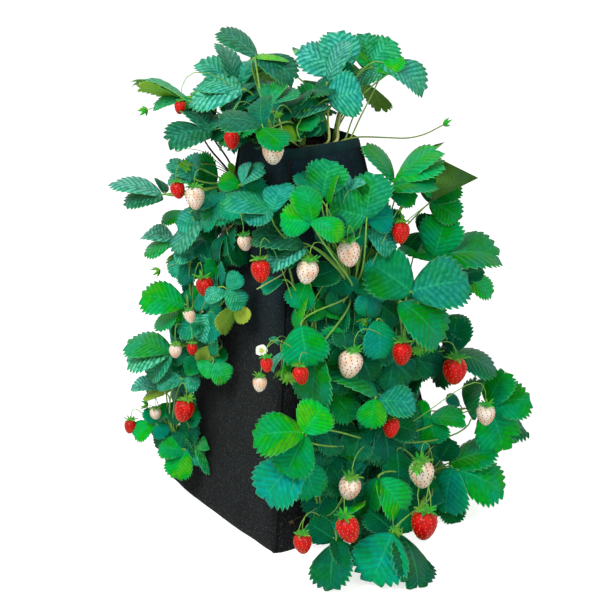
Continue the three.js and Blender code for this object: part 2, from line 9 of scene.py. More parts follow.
import logging  # noqa: E402
import math  # noqa: E402
import random  # noqa: E402
from collections.abc import Sequence  # noqa: E402
from dataclasses import dataclass  # noqa: E402
from enum import Enum  # noqa: E402

import bmesh  # noqa: E402
import bpy  # noqa: E402
from mathutils import Matrix, Quaternion, Vector, noise  # noqa: E402

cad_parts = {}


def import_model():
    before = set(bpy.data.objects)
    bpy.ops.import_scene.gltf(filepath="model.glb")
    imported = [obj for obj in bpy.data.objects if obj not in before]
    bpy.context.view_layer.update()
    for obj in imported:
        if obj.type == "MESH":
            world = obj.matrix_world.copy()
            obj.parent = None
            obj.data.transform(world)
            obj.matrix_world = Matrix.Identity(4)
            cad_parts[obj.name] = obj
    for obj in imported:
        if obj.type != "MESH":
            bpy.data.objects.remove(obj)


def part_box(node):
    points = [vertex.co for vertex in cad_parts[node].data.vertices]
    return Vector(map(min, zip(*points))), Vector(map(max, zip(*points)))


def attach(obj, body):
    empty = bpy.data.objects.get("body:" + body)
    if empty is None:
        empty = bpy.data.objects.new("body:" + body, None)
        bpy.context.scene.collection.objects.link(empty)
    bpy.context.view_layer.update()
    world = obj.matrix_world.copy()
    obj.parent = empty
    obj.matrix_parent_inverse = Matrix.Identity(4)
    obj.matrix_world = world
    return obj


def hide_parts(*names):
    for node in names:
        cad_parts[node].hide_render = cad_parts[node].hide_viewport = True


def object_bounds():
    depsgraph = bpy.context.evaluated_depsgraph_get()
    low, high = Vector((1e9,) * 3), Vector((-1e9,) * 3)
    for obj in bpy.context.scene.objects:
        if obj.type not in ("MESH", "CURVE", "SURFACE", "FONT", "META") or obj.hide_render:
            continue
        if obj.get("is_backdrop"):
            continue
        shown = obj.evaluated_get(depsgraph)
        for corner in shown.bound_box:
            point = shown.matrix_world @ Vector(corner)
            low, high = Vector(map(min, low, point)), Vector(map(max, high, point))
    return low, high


LOG = logging.getLogger("strawberry_tower")
MM = 0.001
UP = Vector((0, 0, 1))
DOWN = Vector((0, 0, -1))
BODY = "root"
CORNERS = ("front_left", "front_right", "back_right", "back_left")


class Face(Enum):
    """A face of the bag: the way it looks, and the corners that it runs between, seen from outside."""

    FRONT = ((0, -1), (0, 1))
    RIGHT = ((1, 0), (1, 2))
    BACK = ((0, 1), (2, 3))
    LEFT = ((-1, 0), (3, 0))

    @property
    def out(self) -> Vector:
        """The level direction straight out of the face."""
        return Vector((*self.value[0], 0))

    @property
    def corners(self) -> tuple[int, int]:
        """The numbers of its two corners."""
        return self.value[1]


class LeafTone(Enum):
    """The greens of strawberry leaves, from old to young, partly painted light: the sea-green also stands for the sky's
    reflection, the deep green also for leaves in shade and the pale green also for young leaves with light behind them;
    and the olive of an underside with light behind it.
    """

    DEEP = "#026238"
    TEAL = "#04946c"
    FRESH = "#03943a"
    BRIGHT = "#0bb01c"
    PALE = "#86cc22"
    OLIVE = "#a3bd3c"


class StemTone(Enum):
    """The colours of stems and of what grows on them."""

    SPRIG = "#8fbf4e"
    FRESH = "#7cb845"
    FLUSHED = "#6b5a3c"
    FINE = "#2f6a2c"
    CROWN = "#5a4a2a"
    BUD = "#8cc63a"
    SEPAL = "#6fc02c"


class Ripeness(Enum):
    """The two kinds of berry on the tower, named as the CAD names them."""

    RED = "red"
    WHITE = "white"


@dataclass(frozen=True)
class LeafSpot:
    """A leaf seen in the photograph: where its leaflets meet, and the tip of each, in pixels."""

    face: Face
    tone: LeafTone
    painted_sheen: float
    junction: tuple[float, float, float]
    tips: tuple[tuple[float, ...], ...]


@dataclass(frozen=True)
class HiddenLeaf:
    """A leaf on a side that the photograph hides: shares across and up its face, out from it, and its length."""

    face: Face
    across: float
    rise: float
    out_share: float
    long_share: float


@dataclass(frozen=True)
class BerrySpot:
    """A berry seen in the photograph: its middle in pixels with its share out, and its share of the largest."""

    face: Face
    middle: tuple[float, float, float]
    size: float
    ripeness: Ripeness


class SprigEnd(Enum):
    """What the far end of a sprig bears."""

    NOTHING = "nothing"
    BUD = "bud"
    CALYX = "open calyx"
    DRY = "withered flower"


@dataclass(frozen=True)
class Sprig:
    """A bare stem seen in the photograph, by its points in pixels with their share out, and what its end bears."""

    face: Face
    points: tuple[tuple[float, float, float], ...]
    bears: SprigEnd = SprigEnd.NOTHING
    radius_mm: float = 0.8
    code: str = StemTone.SPRIG.value


@dataclass(frozen=True)
class PlantSpots:
    """What the tables say of one plant, and how many small leaves fill in between."""

    leaves: tuple[LeafSpot | HiddenLeaf, ...]
    berries: tuple[BerrySpot, ...]
    sprigs: tuple[Sprig, ...]
    fill: int


def red(face: Face, middle: tuple, size: float) -> BerrySpot:
    """A row for a ripe red berry."""
    return BerrySpot(face, middle, size, Ripeness.RED)


def white(face: Face, middle: tuple, size: float) -> BerrySpot:
    """A row for a white berry."""
    return BerrySpot(face, middle, size, Ripeness.WHITE)


FRONT, RIGHT, BACK, LEFT = Face
DEEP, TEAL, FRESH, BRIGHT, PALE, OLIVE = LeafTone
NOTHING, BUD, CALYX, DRY = SprigEnd

# Leaves in the photograph: face, tone, painted sheen (the share of pale sky reflection painted between the veins),
# where the leaflets meet, then each tip with its seen width and how much nearer it is. Pixels, and how far out by the
# height.
LEAVES: dict[str, tuple[tuple, ...]] = {
    "top_left": (
        (FRONT, DEEP, 0.2, (257, 56, -0.06), (220, 31, 17), (295, 79, 21)),
        (FRONT, PALE, 0, (257, 57, -0.05), (283, 57, 6, -0.05)),
        (LEFT, TEAL, 0.7, (236, 88, 0.03), (200, 61, 21), (221, 44, 17), (252, 58, 18, -0.04)),
        (LEFT, TEAL, 1.0, (241, 90, 0.06), (203, 80, 19, -0.03), (190, 103, 25)),
        (LEFT, DEEP, 0.3, (241, 91, 0.06), (249, 83, 12, -0.05), (226, 112, 10)),
        (LEFT, FRESH, 0.5, (188, 97, 0.16), (134, 82, 7)),
        (LEFT, PALE, 0, (189, 101, 0.165), (139, 88, -9)),
        (LEFT, FRESH, 0.4, (192, 98, 0.15), (154, 104, 9)),
        (LEFT, PALE, 0, (191, 96, 0.15), (183, 111, 14)),
        (LEFT, DEEP, 0.25, (211, 130, 0.14), (187, 108, 17, -0.03), (168, 140, 21, 0.04), (220, 113, 13, -0.04)),
        (LEFT, DEEP, 0, (214, 118, 0.08), (196, 122, 12), (206, 105, 12)),
        (LEFT, FRESH, 0, (240, 112, 0.05), (222, 102, 14), (240, 96, 13)),
        (LEFT, DEEP, 0, (238, 128, 0.05), (222, 134, 12), (246, 143, 11)),
    ),
    "top_middle": (
        (FRONT, DEEP, 0.1, (262, 124, 0.08), (219, 119, 17), (262, 97, 20, -0.03)),
        (FRONT, FRESH, 0, (259, 127, 0.08), (284, 147, 21, 0.02)),
        (FRONT, DEEP, 0, (305, 136, -0.02), (284, 128, 10), (318, 124, 12)),
        (FRONT, PALE, 0, (297, 140, 0.0), (280, 127, 9)),
        (FRONT, FRESH, 0.15, (326, 101, -0.02), (293, 98, 24)),
        (FRONT, TEAL, 0.9, (329, 106, 0.0), (292, 110, 11)),
        (FRONT, TEAL, 0.45, (328, 99, 0.01), (361, 91, 39)),
        (FRONT, TEAL, 0.8, (340, 73, -0.06), (300, 50, 27)),
        (FRONT, TEAL, 0.7, (342, 73, -0.07), (337, 32, 33)),
        (FRONT, TEAL, 1.0, (328, 82, -0.02), (347, 42, 16)),
        (FRONT, FRESH, 0.3, (271, 103, -0.02), (262, 84, 13), (282, 81, 12), (298, 90, 12)),
        (FRONT, DEEP, 0, (338, 76, -0.06), (352, 66, 15), (345, 84, 14)),
        (FRONT, DEEP, 0, (312, 119, -0.03), (299, 130, 16), (322, 134, 15)),
    ),
    "top_right": (
        (FRONT, FRESH, 0.35, (368, 68, -0.08), (364, 34, 26), (392, 40, 30)),
        (FRONT, BRIGHT, 0, (370, 66, -0.06), (347, 44, 12)),
        (FRONT, TEAL, 0.4, (383, 63, -0.04), (425, 89, 21)),
        (FRONT, FRESH, 1.0, (388, 71, -0.02), (357, 79, 15)),
        (FRONT, BRIGHT, 0, (376, 68, -0.05), (404, 60, 15), (405, 78, 10)),
    ),
    "front_upper": (
        (FRONT, FRESH, 0.1, (322, 197, 0.09), (330, 161, 36)),
        (FRONT, TEAL, 0, (321, 199, 0.09), (297, 174, 18)),
        (FRONT, BRIGHT, 0, (327, 203, 0.1), (334, 175, 11)),
        (FRONT, FRESH, 0.1, (367, 217, 0.13), (330, 207, 44), (374, 174, 36)),
        (FRONT, TEAL, 0, (367, 219, 0.12), (393, 216, 28)),
        (FRONT, BRIGHT, 0, (312, 221, 0.16), (281, 220, 28), (303, 186, 27), (341, 237, 20, 0.02)),
        (FRONT, TEAL, 0.3, (369, 229, 0.1), (394, 250, 21)),
        (FRONT, FRESH, 0, (394, 181, 0.06), (366, 145, 14)),
        (FRONT, BRIGHT, 0, (394, 180, 0.06), (438, 149, 16), (443, 164, 13, 0.03), (418, 185, 14)),
        (FRONT, FRESH, 0, (388, 189, 0.1), (416, 199, 22), (436, 184, 14)),
        (FRONT, FRESH, 0, (431, 202, 0.07), (437, 171, 21, -0.03), (458, 184, 22), (459, 219, 24, 0.02)),
        (FRONT, FRESH, 0, (409, 192, 0.07), (418, 173, 17), (400, 206, 15)),
        (FRONT, TEAL, 0.8, (349, 190, 0.11), (345, 173, 9), (364, 180, 8)),
        (FRONT, TEAL, 0.3, (272, 211, 0.08), (226, 197, 18), (285, 183, 24, -0.03), (247, 222, 17, 0.03)),
        (FRONT, DEEP, 0.15, (303, 243, 0.1), (253, 236, 24)),
        (FRONT, TEAL, 0.8, (305, 247, 0.1), (270, 268, 15, 0.02)),
        (FRONT, DEEP, 0, (288, 214, 0.06), (268, 226, 18), (292, 200, 14)),
        (FRONT, FRESH, 0, (301, 326, 0.11), (308, 366, 41)),
        (FRONT, FRESH, 0, (318, 354, 0.1), (314, 407, 33)),
        (FRONT, BRIGHT, 0, (424, 180, 0.12), (408, 190, 8), (441, 170, 8), (431, 196, 9)),
        (FRONT, DEEP, 0, (340, 277, 0.07), (322, 292, 21), (352, 292, 20)),
        (FRONT, DEEP, 0, (343, 303, 0.07), (314, 306, 27), (333, 332, 24)),
        (FRONT, TEAL, 0, (370, 305, 0.08), (345, 329, 26)),
        (FRONT, DEEP, 0, (366, 290, 0.06), (338, 296, 17)),
        (FRONT, DEEP, 0, (384, 226, 0.08), (372, 248, 20), (402, 214, 16)),
        (FRONT, DEEP, 0, (328, 226, 0.09), (322, 243, 15), (345, 222, 14)),
        (FRONT, DEEP, 0, (352, 226, 0.09), (366, 243, 18), (330, 258, 20)),
    ),
    "front_mid_left": (
        (FRONT, FRESH, 0, (306, 283, 0.08), (296, 308, 27)),
        (FRONT, DEEP, 0, (308, 281, 0.07), (337, 270, 22, -0.02)),
        (FRONT, BRIGHT, 0, (305, 293, 0.07), (296, 328, 10)),
        (FRONT, TEAL, 0, (282, 280, 0.06), (262, 290, 12)),
        (FRONT, TEAL, 0.6, (281, 344, 0.07), (270, 338, 5)),
        (FRONT, TEAL, 1.0, (283, 350, 0.07), (272, 371, 6)),
        (FRONT, BRIGHT, 0, (286, 352, 0.08), (287, 379, 8)),
        (FRONT, DEEP, 0, (286, 254, 0.07), (270, 243, 17), (290, 268, 15)),
    ),
    "front_mid_right": (
        (FRONT, FRESH, 0, (434, 257, 0.1), (403, 243, 18, -0.03), (446, 217, 38), (499, 256, 29)),
        (FRONT, FRESH, 0.05, (412, 292, 0.17), (370, 263, 44)),
        (FRONT, TEAL, 0.15, (412, 291, 0.17), (468, 281, 45)),
        (FRONT, FRESH, 0, (402, 302, 0.16), (441, 341, 36)),
        (FRONT, DEEP, 0, (452, 352, 0.1), (457, 318, 30), (495, 371, 22)),
        (FRONT, DEEP, 0, (447, 340, 0.09), (440, 387, 19)),
        (FRONT, DEEP, 0, (424, 352, 0.06), (394, 366, 20), (404, 392, 24)),
        (FRONT, TEAL, 0, (377, 321, 0.13), (380, 358, 30)),
        (FRONT, DEEP, 0, (357, 352, 0.08), (372, 382, 24)),
        (FRONT, BRIGHT, 0, (464, 277, 0.05), (492, 294, 18)),
        (FRONT, DEEP, 0, (460, 276, 0.06), (468, 296, 16), (483, 270, 17)),
        (FRONT, DEEP, 0, (420, 232, 0.06), (406, 252, 17), (427, 214, 15)),
        (FRONT, DEEP, 0, (444, 318, 0.07), (470, 332, 20), (430, 306, 18)),
        (FRONT, DEEP, 0, (386, 314, 0.07), (402, 336, 21), (366, 296, 16)),
    ),
    "front_centre": (
        (FRONT, FRESH, 0.1, (379, 394, 0.14), (326, 363, 21)),
        (FRONT, BRIGHT, 0, (375, 399, 0.17), (370, 427, 25, 0.02)),
        (FRONT, TEAL, 0.2, (377, 401, 0.17), (415, 404, 27)),
        (FRONT, DEEP, 0, (382, 425, 0.11), (344, 436, 26), (388, 465, 28), (416, 432, 24)),
        (FRONT, BRIGHT, 0, (303, 432, 0.14), (254, 437, 36), (323, 406, 35)),
        (FRONT, FRESH, 0, (305, 436, 0.14), (286, 475, 38)),
        (FRONT, DEEP, 0, (365, 449, 0.09), (343, 470, 26)),
        (FRONT, FRESH, 0, (488, 405, 0.13), (505, 372, 28), (530, 399, 33), (503, 450, 38)),
        (FRONT, DEEP, 0, (489, 410, 0.09), (528, 433, 24)),
        (FRONT, FRESH, 0.2, (471, 419, 0.12), (477, 379, 14)),
        (FRONT, DEEP, 0, (352, 447, 0.08), (332, 428, 24), (357, 470, 24)),
        (FRONT, DEEP, 0, (336, 416, 0.06), (352, 398, 22), (322, 432, 18)),
        (FRONT, TEAL, 0, (460, 405, 0.06), (447, 396, 10)),
    ),
    "front_low_left": (
        (FRONT, TEAL, 0, (300, 458, 0.1), (264, 499, 42)),
        (FRONT, FRESH, 0, (301, 459, 0.1), (314, 497, 29)),
        (FRONT, DEEP, 0, (346, 474, 0.07), (334, 513, 30)),
        (FRONT, DEEP, 0, (336, 541, 0.18), (331, 588, 35, 0.05)),
        (FRONT, DEEP, 0, (334, 539, 0.17), (309, 524, 24), (349, 565, 20, 0.04)),
        (FRONT, DEEP, 0, (331, 488, 0.08), (312, 519, 32)),
        (FRONT, BRIGHT, 0, (364, 502, 0.14), (343, 515, 7)),
        (FRONT, TEAL, 0.1, (353, 474, 0.09), (350, 446, 26)),
        (FRONT, DEEP, 0, (322, 470, 0.06), (338, 456, 22), (330, 492, 20)),
    ),
    "front_low_right": (
        (FRONT, FRESH, 0, (378, 478, 0.14), (370, 509, 17)),
        (FRONT, BRIGHT, 0, (379, 479, 0.14), (404, 514, 29)),
        (FRONT, DEEP, 0, (397, 451, 0.13), (398, 487, 29)),
        (FRONT, FRESH, 0, (430, 418, 0.1), (413, 407, 20), (436, 443, 27), (465, 419, 17)),
        (FRONT, FRESH, 0, (449, 463, 0.1), (495, 452, 27)),
        (FRONT, FRESH, 0, (459, 470, 0.15), (503, 491, 37)),
        (FRONT, TEAL, 0, (452, 468, 0.14), (447, 513, 33)),
        (FRONT, TEAL, 0, (392, 533, 0.24), (372, 581, 48, 0.05)),
        (FRONT, DEEP, 0, (402, 534, 0.21), (418, 588, 27, 0.05)),
        (FRONT, DEEP, 0, (393, 531, 0.18), (367, 511, 25), (410, 514, 22)),
        (FRONT, DEEP, 0, (445, 503, 0.1), (456, 523, 20)),
        (FRONT, DEEP, 0, (440, 460, 0.08), (424, 447, 22), (452, 440, 24)),
        (FRONT, DEEP, 0, (420, 500, 0.1), (405, 481, 24), (440, 488, 22)),
        (FRONT, DEEP, 0, (396, 500, 0.08), (380, 522, 24), (418, 520, 26)),
    ),
    "left_upper": (
        (LEFT, TEAL, 0.9, (161, 194, 0.18), (112, 183, 16)),
        (LEFT, DEEP, 0.5, (162, 195, 0.18), (126, 204, 14, 0.03)),
        (LEFT, DEEP, 0, (164, 192, 0.16), (160, 180, 9, -0.03)),
        (LEFT, TEAL, 0.6, (193, 178, 0.12), (195, 153, 13), (169, 162, 13), (168, 181, 12)),
        (LEFT, TEAL, 1.0, (172, 238, 0.12), (144, 234, 14, -0.03)),
        (LEFT, FRESH, 0.3, (172, 240, 0.12), (145, 254, 14)),
        (LEFT, TEAL, 0.6, (206, 213, 0.07), (177, 226, 20), (176, 251, 15, 0.03)),
        (LEFT, DEEP, 0, (229, 236, 0.07), (221, 262, 21, -0.03), (244, 264, 17)),
        (LEFT, BRIGHT, 0, (240, 185, 0.08), (219, 181, 16)),
        (LEFT, TEAL, 0.7, (241, 184, 0.08), (248, 162, 9), (263, 168, 10, 0.03)),
        (LEFT, PALE, 0, (232, 175, 0.06), (231, 163, 6)),
        (LEFT, BRIGHT, 0, (183, 211, 0.1), (162, 222, 12)),
        (LEFT, FRESH, 0, (212, 196, 0.06), (202, 178, 15), (222, 206, 16)),
        (LEFT, DEEP, 0, (218, 222, 0.05), (206, 240, 16), (232, 216, 14)),
        (LEFT, DEEP, 0, (190, 222, 0.09), (186, 240, 15), (204, 228, 15)),
    ),
    "left_mid": (
        (LEFT, TEAL, 1.0, (226, 291, 0.1), (205, 298, 14)),
        (LEFT, TEAL, 0.3, (227, 289, 0.1), (240, 274, 16), (243, 307, 20)),
        (LEFT, BRIGHT, 0, (184, 304, 0.13), (142, 296, 29)),
        (LEFT, BRIGHT, 0, (178, 306, 0.12), (158, 330, 13, 0.03), (176, 325, 13)),
        (LEFT, TEAL, 0.6, (210, 314, 0.08), (200, 341, 22)),
        (LEFT, TEAL, 0.2, (206, 316, 0.08), (180, 335, 20), (227, 326, 17)),
        (LEFT, OLIVE, 0, (236, 305, 0.07), (246, 322, -15), (222, 333, -16)),
        (LEFT, FRESH, 0.1, (170, 350, 0.13), (127, 343, 23, -0.02)),
        (LEFT, FRESH, 1.2, (168, 352, 0.135), (128, 364, 22)),
        (LEFT, TEAL, 0.4, (170, 354, 0.13), (150, 379, 16)),
        (LEFT, OLIVE, 0, (213, 346, 0.06), (204, 366, -22)),
        (LEFT, BRIGHT, 0.2, (212, 364, 0.07), (228, 380, 20), (200, 372, 18)),
        (LEFT, FRESH, 0, (205, 363, 0.07), (184, 369, 16), (226, 351, 15)),
        (LEFT, TEAL, 0.9, (198, 252, 0.08), (174, 256, 18), (222, 250, 18)),
        (LEFT, DEEP, 0, (202, 250, 0.05), (200, 278, 22), (186, 266, 16)),
        (LEFT, DEEP, 0, (194, 286, 0.05), (190, 314, 22), (182, 284, 14)),
        (LEFT, TEAL, 0.4, (184, 262, 0.1), (187, 285, 17), (170, 274, 15)),
        (LEFT, FRESH, 0, (219, 268, 0.06), (204, 268, 16), (226, 284, 15)),
        (LEFT, FRESH, 0, (197, 300, 0.06), (188, 290, 14), (212, 306, 14)),
        (LEFT, DEEP, 0, (190, 334, 0.07), (172, 328, 15), (192, 350, 15)),
        (LEFT, FRESH, 0, (186, 362, 0.06), (168, 366, 15), (192, 378, 14)),
    ),
    "left_low": (
        (LEFT, TEAL, 0.5, (184, 379, 0.11), (157, 384, 16), (198, 388, 15)),
        (LEFT, TEAL, 0.9, (160, 386, 0.12), (132, 386, 13)),
        (LEFT, OLIVE, 0, (164, 393, 0.12), (144, 397, 9)),
        (LEFT, BRIGHT, 0, (153, 424, 0.11), (134, 436, 17)),
        (LEFT, TEAL, 0, (156, 423, 0.11), (165, 437, 15), (146, 409, 13)),
        (LEFT, BRIGHT, 0, (185, 451, 0.05), (159, 448, 19), (176, 478, 23, 0.02)),
        (LEFT, TEAL, 0.3, (186, 450, 0.05), (206, 456, 20)),
        (LEFT, BRIGHT, 0.3, (196, 447, 0.03), (211, 442, 12), (215, 470, 17)),
        (LEFT, DEEP, 0, (179, 399, 0.08), (173, 423, 15)),
        (LEFT, FRESH, 0, (172, 404, 0.08), (160, 414, 12), (186, 416, 12)),
        (LEFT, FRESH, 0, (175, 438, 0.05), (166, 430, 12), (184, 428, 12)),
    ),
}
# Leaves on the sides that the photograph hides: face, shares across, up and out, and length.
HIDDEN_LEAVES: dict[str, tuple[tuple[Face, float, float, float, float], ...]] = {
    "top_right": ((RIGHT, 0.6, 1.1, 0.16, 0.1), (BACK, 0.45, 1.14, 0.1, 0.11)),
    "back_upper": ((BACK, 0.36, 0.76, 0.12, 0.12), (BACK, 0.6, 0.62, 0.2, 0.12)),
    "back_mid": ((BACK, 0.04, 0.52, 0.14, 0.12), (BACK, 0.32, 0.42, 0.2, 0.12), (RIGHT, 0.85, 0.4, 0.12, 0.1)),
    "back_centre": ((BACK, 0.38, 0.3, 0.16, 0.12), (BACK, 0.7, 0.24, 0.16, 0.12)),
    "back_low": ((BACK, 0.3, 0.14, 0.2, 0.12), (RIGHT, 0.88, 0.18, 0.14, 0.11)),
}
# Berries in the photograph, in the order that numbers their nodes.
BERRIES: dict[str, tuple[BerrySpot, ...]] = {
    "top_left": (red(LEFT, (181, 107, 0.2), 0.43), red(LEFT, (231, 139, 0.14), 0.56)),
    "top_middle": (white(FRONT, (273, 152, 0.06), 0.74),),
    "front_upper": (
        white(FRONT, (347, 253, 0.17), 0.8), white(FRONT, (309.5, 271.5, 0.13), 0.76),
        red(FRONT, (401, 231.5, 0.15), 0.68),
    ),
    "front_mid_left": (
        red(FRONT, (260, 270, 0.07), 0.7), red(FRONT, (266, 364, 0.1), 0.45), red(FRONT, (299, 374.5, 0.13), 0.58),
        white(FRONT, (260.5, 383.5, 0.06), 0.5),
    ),
    "front_mid_right": (
        red(FRONT, (403, 352, 0.17), 0.74), red(FRONT, (455.5, 371, 0.17), 0.95), white(FRONT, (353, 363, 0.14), 0.87),
    ),
    "front_centre": (
        red(FRONT, (391.5, 426, 0.18), 0.65), white(FRONT, (351.5, 488.5, 0.15), 0.8),
        white(FRONT, (485.5, 414, 0.18), 0.72),
    ),
    "front_low_left": (red(FRONT, (302, 543, 0.17), 0.68), red(FRONT, (344, 528, 0.24), 0.84)),
    "front_low_right": (red(FRONT, (425, 524, 0.25), 1), white(FRONT, (420, 473, 0.2), 0.92)),
    "left_upper": (
        red(LEFT, (176, 190, 0.2), 0.56), white(LEFT, (194.5, 196.5, 0.17), 0.7), white(LEFT, (244, 243, 0.08), 0.54),
    ),
    "left_mid": (
        red(LEFT, (203, 287, 0.12), 0.7), red(LEFT, (192.5, 349, 0.13), 0.43), white(LEFT, (188.5, 316, 0.15), 0.43),
        white(LEFT, (175.5, 351, 0.17), 0.47),
    ),
    "left_low": (
        red(LEFT, (187.5, 410, 0.12), 0.8), red(LEFT, (131.5, 426, 0.15), 0.5), white(LEFT, (155.5, 414, 0.13), 0.45),
    ),
}
# Bare stems in the photograph, with what their far ends bear.
SPRIGS: dict[str, tuple[Sprig, ...]] = {
    "top_left": (
        Sprig(LEFT, ((191, 98, 0.15), (160, 106, 0.17), (146, 110, 0.17)), BUD),
        Sprig(FRONT, ((270, 125, 0.0), (262, 100, -0.02), (255, 58, -0.05)), radius_mm=1.6, code="#7fae3f"),
        Sprig(FRONT, ((286, 140, -0.01), (277, 118, -0.02), (268, 96, -0.03)), radius_mm=1.3, code="#54703a"),
    ),
    "top_middle": (
        Sprig(FRONT, ((327, 143, -0.01), (328, 120, -0.02), (327, 82, -0.03)), radius_mm=2.0, code="#b9c873"),
        Sprig(FRONT, ((334, 143, -0.01), (338, 128, -0.02), (340, 112, -0.02)), radius_mm=2.2, code="#b5ba72"),
        Sprig(FRONT, ((293, 142, 0.0), (284, 134, 0.0), (279, 118, -0.01)), BUD, 1.0, "#a9cf6a"),
        Sprig(FRONT, ((300, 140, -0.01), (297, 128, -0.01), (303, 116, -0.02)), BUD, 0.8, "#9ccc60"),
    ),
    "top_right": (
        Sprig(FRONT, ((344, 141, -0.02), (352, 120, -0.03), (368, 82, -0.04)), radius_mm=1.3, code="#8fae52"),
        Sprig(FRONT, ((348, 141, -0.02), (360, 118, -0.03), (378, 82, -0.04)), radius_mm=1.3, code="#9dbd5c"),
        Sprig(FRONT, ((341, 141, -0.01), (359, 137, 0.0), (385, 137.5, 0.01), (407, 138, 0.02), (425, 134, 0.02),
         (444, 124.5, 0.02)), BUD, 1.3, "#7f9a3c"),
    ),
    "front_upper": (
        Sprig(FRONT, ((388, 238, 0.03), (408, 220, 0.09), (429, 203, 0.07)), radius_mm=0.9),
        Sprig(FRONT, ((356, 262, 0.01), (362, 280, 0.04), (367, 292, 0.06), (371, 311, 0.08),
         (377, 321, 0.09)), radius_mm=1.1, code="#8dbf45"),
        Sprig(FRONT, ((350, 268, 0.01), (350, 276, 0.03), (359, 289, 0.05)), BUD, 0.8, "#86a44c"),
        Sprig(FRONT, ((345, 262, 0.01), (330, 276, 0.05), (319, 292, 0.07), (300, 326, 0.08)), radius_mm=1.0),
        Sprig(FRONT, ((342, 268, 0.01), (318, 300, 0.05), (311, 328, 0.07)), radius_mm=0.9),
    ),
    "front_mid_left": (
        Sprig(FRONT, ((290, 270, 0.02), (283, 274, 0.06), (257, 289, 0.09)), radius_mm=1.1, code="#b5cc7a"),
        Sprig(FRONT, ((283, 344, 0.07), (283, 360, 0.09), (288, 377, 0.1)), CALYX, 0.6),
        Sprig(FRONT, ((284, 340, 0.06), (282, 358, 0.09), (281, 370, 0.09)), BUD, 0.5),
        Sprig(FRONT, ((286, 338, 0.05), (274, 342, 0.08), (263, 351, 0.078)), radius_mm=0.6),
    ),
    "front_mid_right": (
        Sprig(FRONT, ((398, 316, 0.05), (396, 326, 0.09), (397, 341, 0.12)), CALYX, 0.8),
        Sprig(FRONT, ((406, 318, 0.05), (414, 334, 0.1), (418, 350, 0.12)), CALYX, 0.7),
        Sprig(FRONT, ((410, 318, 0.05), (424, 330, 0.1), (430, 346, 0.12)), CALYX, 0.7),
        Sprig(FRONT, ((376, 314, 0.06), (370, 316, 0.09), (366, 320, 0.1)), BUD, 0.7, "#a4c95a"),
    ),
    "front_centre": (
        Sprig(FRONT, ((360, 415, 0.02), (348, 414, 0.05), (338, 414, 0.07), (328, 420, 0.09)), radius_mm=1.0),
        Sprig(FRONT, ((410, 412, 0.02), (436, 411, 0.08), (465, 408, 0.1)), radius_mm=1.2, code="#b0a468"),
    ),
    "front_low_left": (
        Sprig(FRONT, ((322, 506, 0.03), (315, 509, 0.07), (304, 518, 0.11), (298, 531, 0.14)), radius_mm=0.8),
        Sprig(FRONT, ((320, 506, 0.03), (315, 512, 0.06), (313, 523, 0.08)), radius_mm=0.7),
        Sprig(FRONT, ((310, 512, 0.02), (300, 517, 0.03), (291, 522, 0.03)), DRY, 0.4, "#4f4630"),
    ),
    "front_low_right": (
        Sprig(FRONT, ((412, 486, 0.04), (395, 504, 0.14), (393, 522, 0.22), (395, 530, 0.24)), CALYX, 0.6),
        Sprig(FRONT, ((434, 446, 0.06), (423, 458, 0.18), (417, 467, 0.237)), CALYX, 0.7),
        Sprig(FRONT, ((436, 470, 0.05), (424, 480, 0.19), (418, 492, 0.22), (419, 506, 0.24)), radius_mm=0.8),
        Sprig(FRONT, ((436, 468, 0.05), (428, 480, 0.2), (430, 494, 0.23), (431, 507, 0.25)), radius_mm=0.8),
    ),
    "left_upper": (
        Sprig(LEFT, ((222, 166, 0.03), (204, 152, 0.1), (183, 148, 0.14)), BUD, 0.6),
        Sprig(LEFT, ((222, 168, 0.03), (206, 164, 0.1), (184, 166, 0.14)), CALYX, 0.6),
        Sprig(LEFT, ((225, 172, 0.03), (210, 165, 0.07), (198, 160, 0.1)), radius_mm=0.8, code="#5b3145"),
        Sprig(LEFT, ((227, 158, 0.04), (215, 141, 0.09), (211, 131, 0.13)), radius_mm=1.6, code="#4c3a35"),
        Sprig(LEFT, ((222, 163, 0.04), (208, 146, 0.09), (196, 124, 0.13),
         (187, 108, 0.15)), radius_mm=1.6, code="#4c3a35"),
        Sprig(LEFT, ((226, 186, 0.03), (225, 200, 0.07), (224, 206, 0.08)), DRY, 0.8, "#b9a77c"),
        Sprig(LEFT, ((228, 186, 0.03), (236, 206, 0.07), (238, 215, 0.08)), DRY, 0.8, "#b9a77c"),
        Sprig(LEFT, ((230, 190, 0.03), (234, 220, 0.07), (229, 228, 0.08)), DRY, 0.8, "#a8b070"),
    ),
    "left_mid": (
        Sprig(LEFT, ((206, 272, 0.03), (184, 262, 0.1), (160, 270, 0.15)), BUD, 0.6, "#a9c06a"),
        Sprig(LEFT, ((212, 330, 0.02), (222, 344, 0.04), (216, 352, 0.05)), radius_mm=0.8),
    ),
    "left_low": (
        Sprig(LEFT, ((186, 440, 0.01), (172, 418, 0.07), (158, 408, 0.11), (148, 405, 0.13)), BUD, 0.6),
        Sprig(LEFT, ((188, 440, 0.01), (178, 428, 0.04), (170, 419, 0.07)), radius_mm=0.8),
        Sprig(LEFT, ((186, 442, 0.01), (189, 428, 0.04), (186, 420, 0.05)), radius_mm=0.8),
    ),
}
# Every plant, with how many small leaves fill in between those of the tables.
FILL: dict[str, int] = {
    "top_left": 10, "top_middle": 12, "top_right": 5, "front_upper": 18, "front_mid_left": 8, "front_mid_right": 14,
    "front_centre": 16, "front_low_left": 10, "front_low_right": 14, "left_upper": 14, "left_mid": 16, "left_low": 7,
    "back_upper": 9, "back_mid": 9, "back_centre": 9, "back_low": 9,
}
FLOWER_SPOT = (261.5, 351, 0.08)
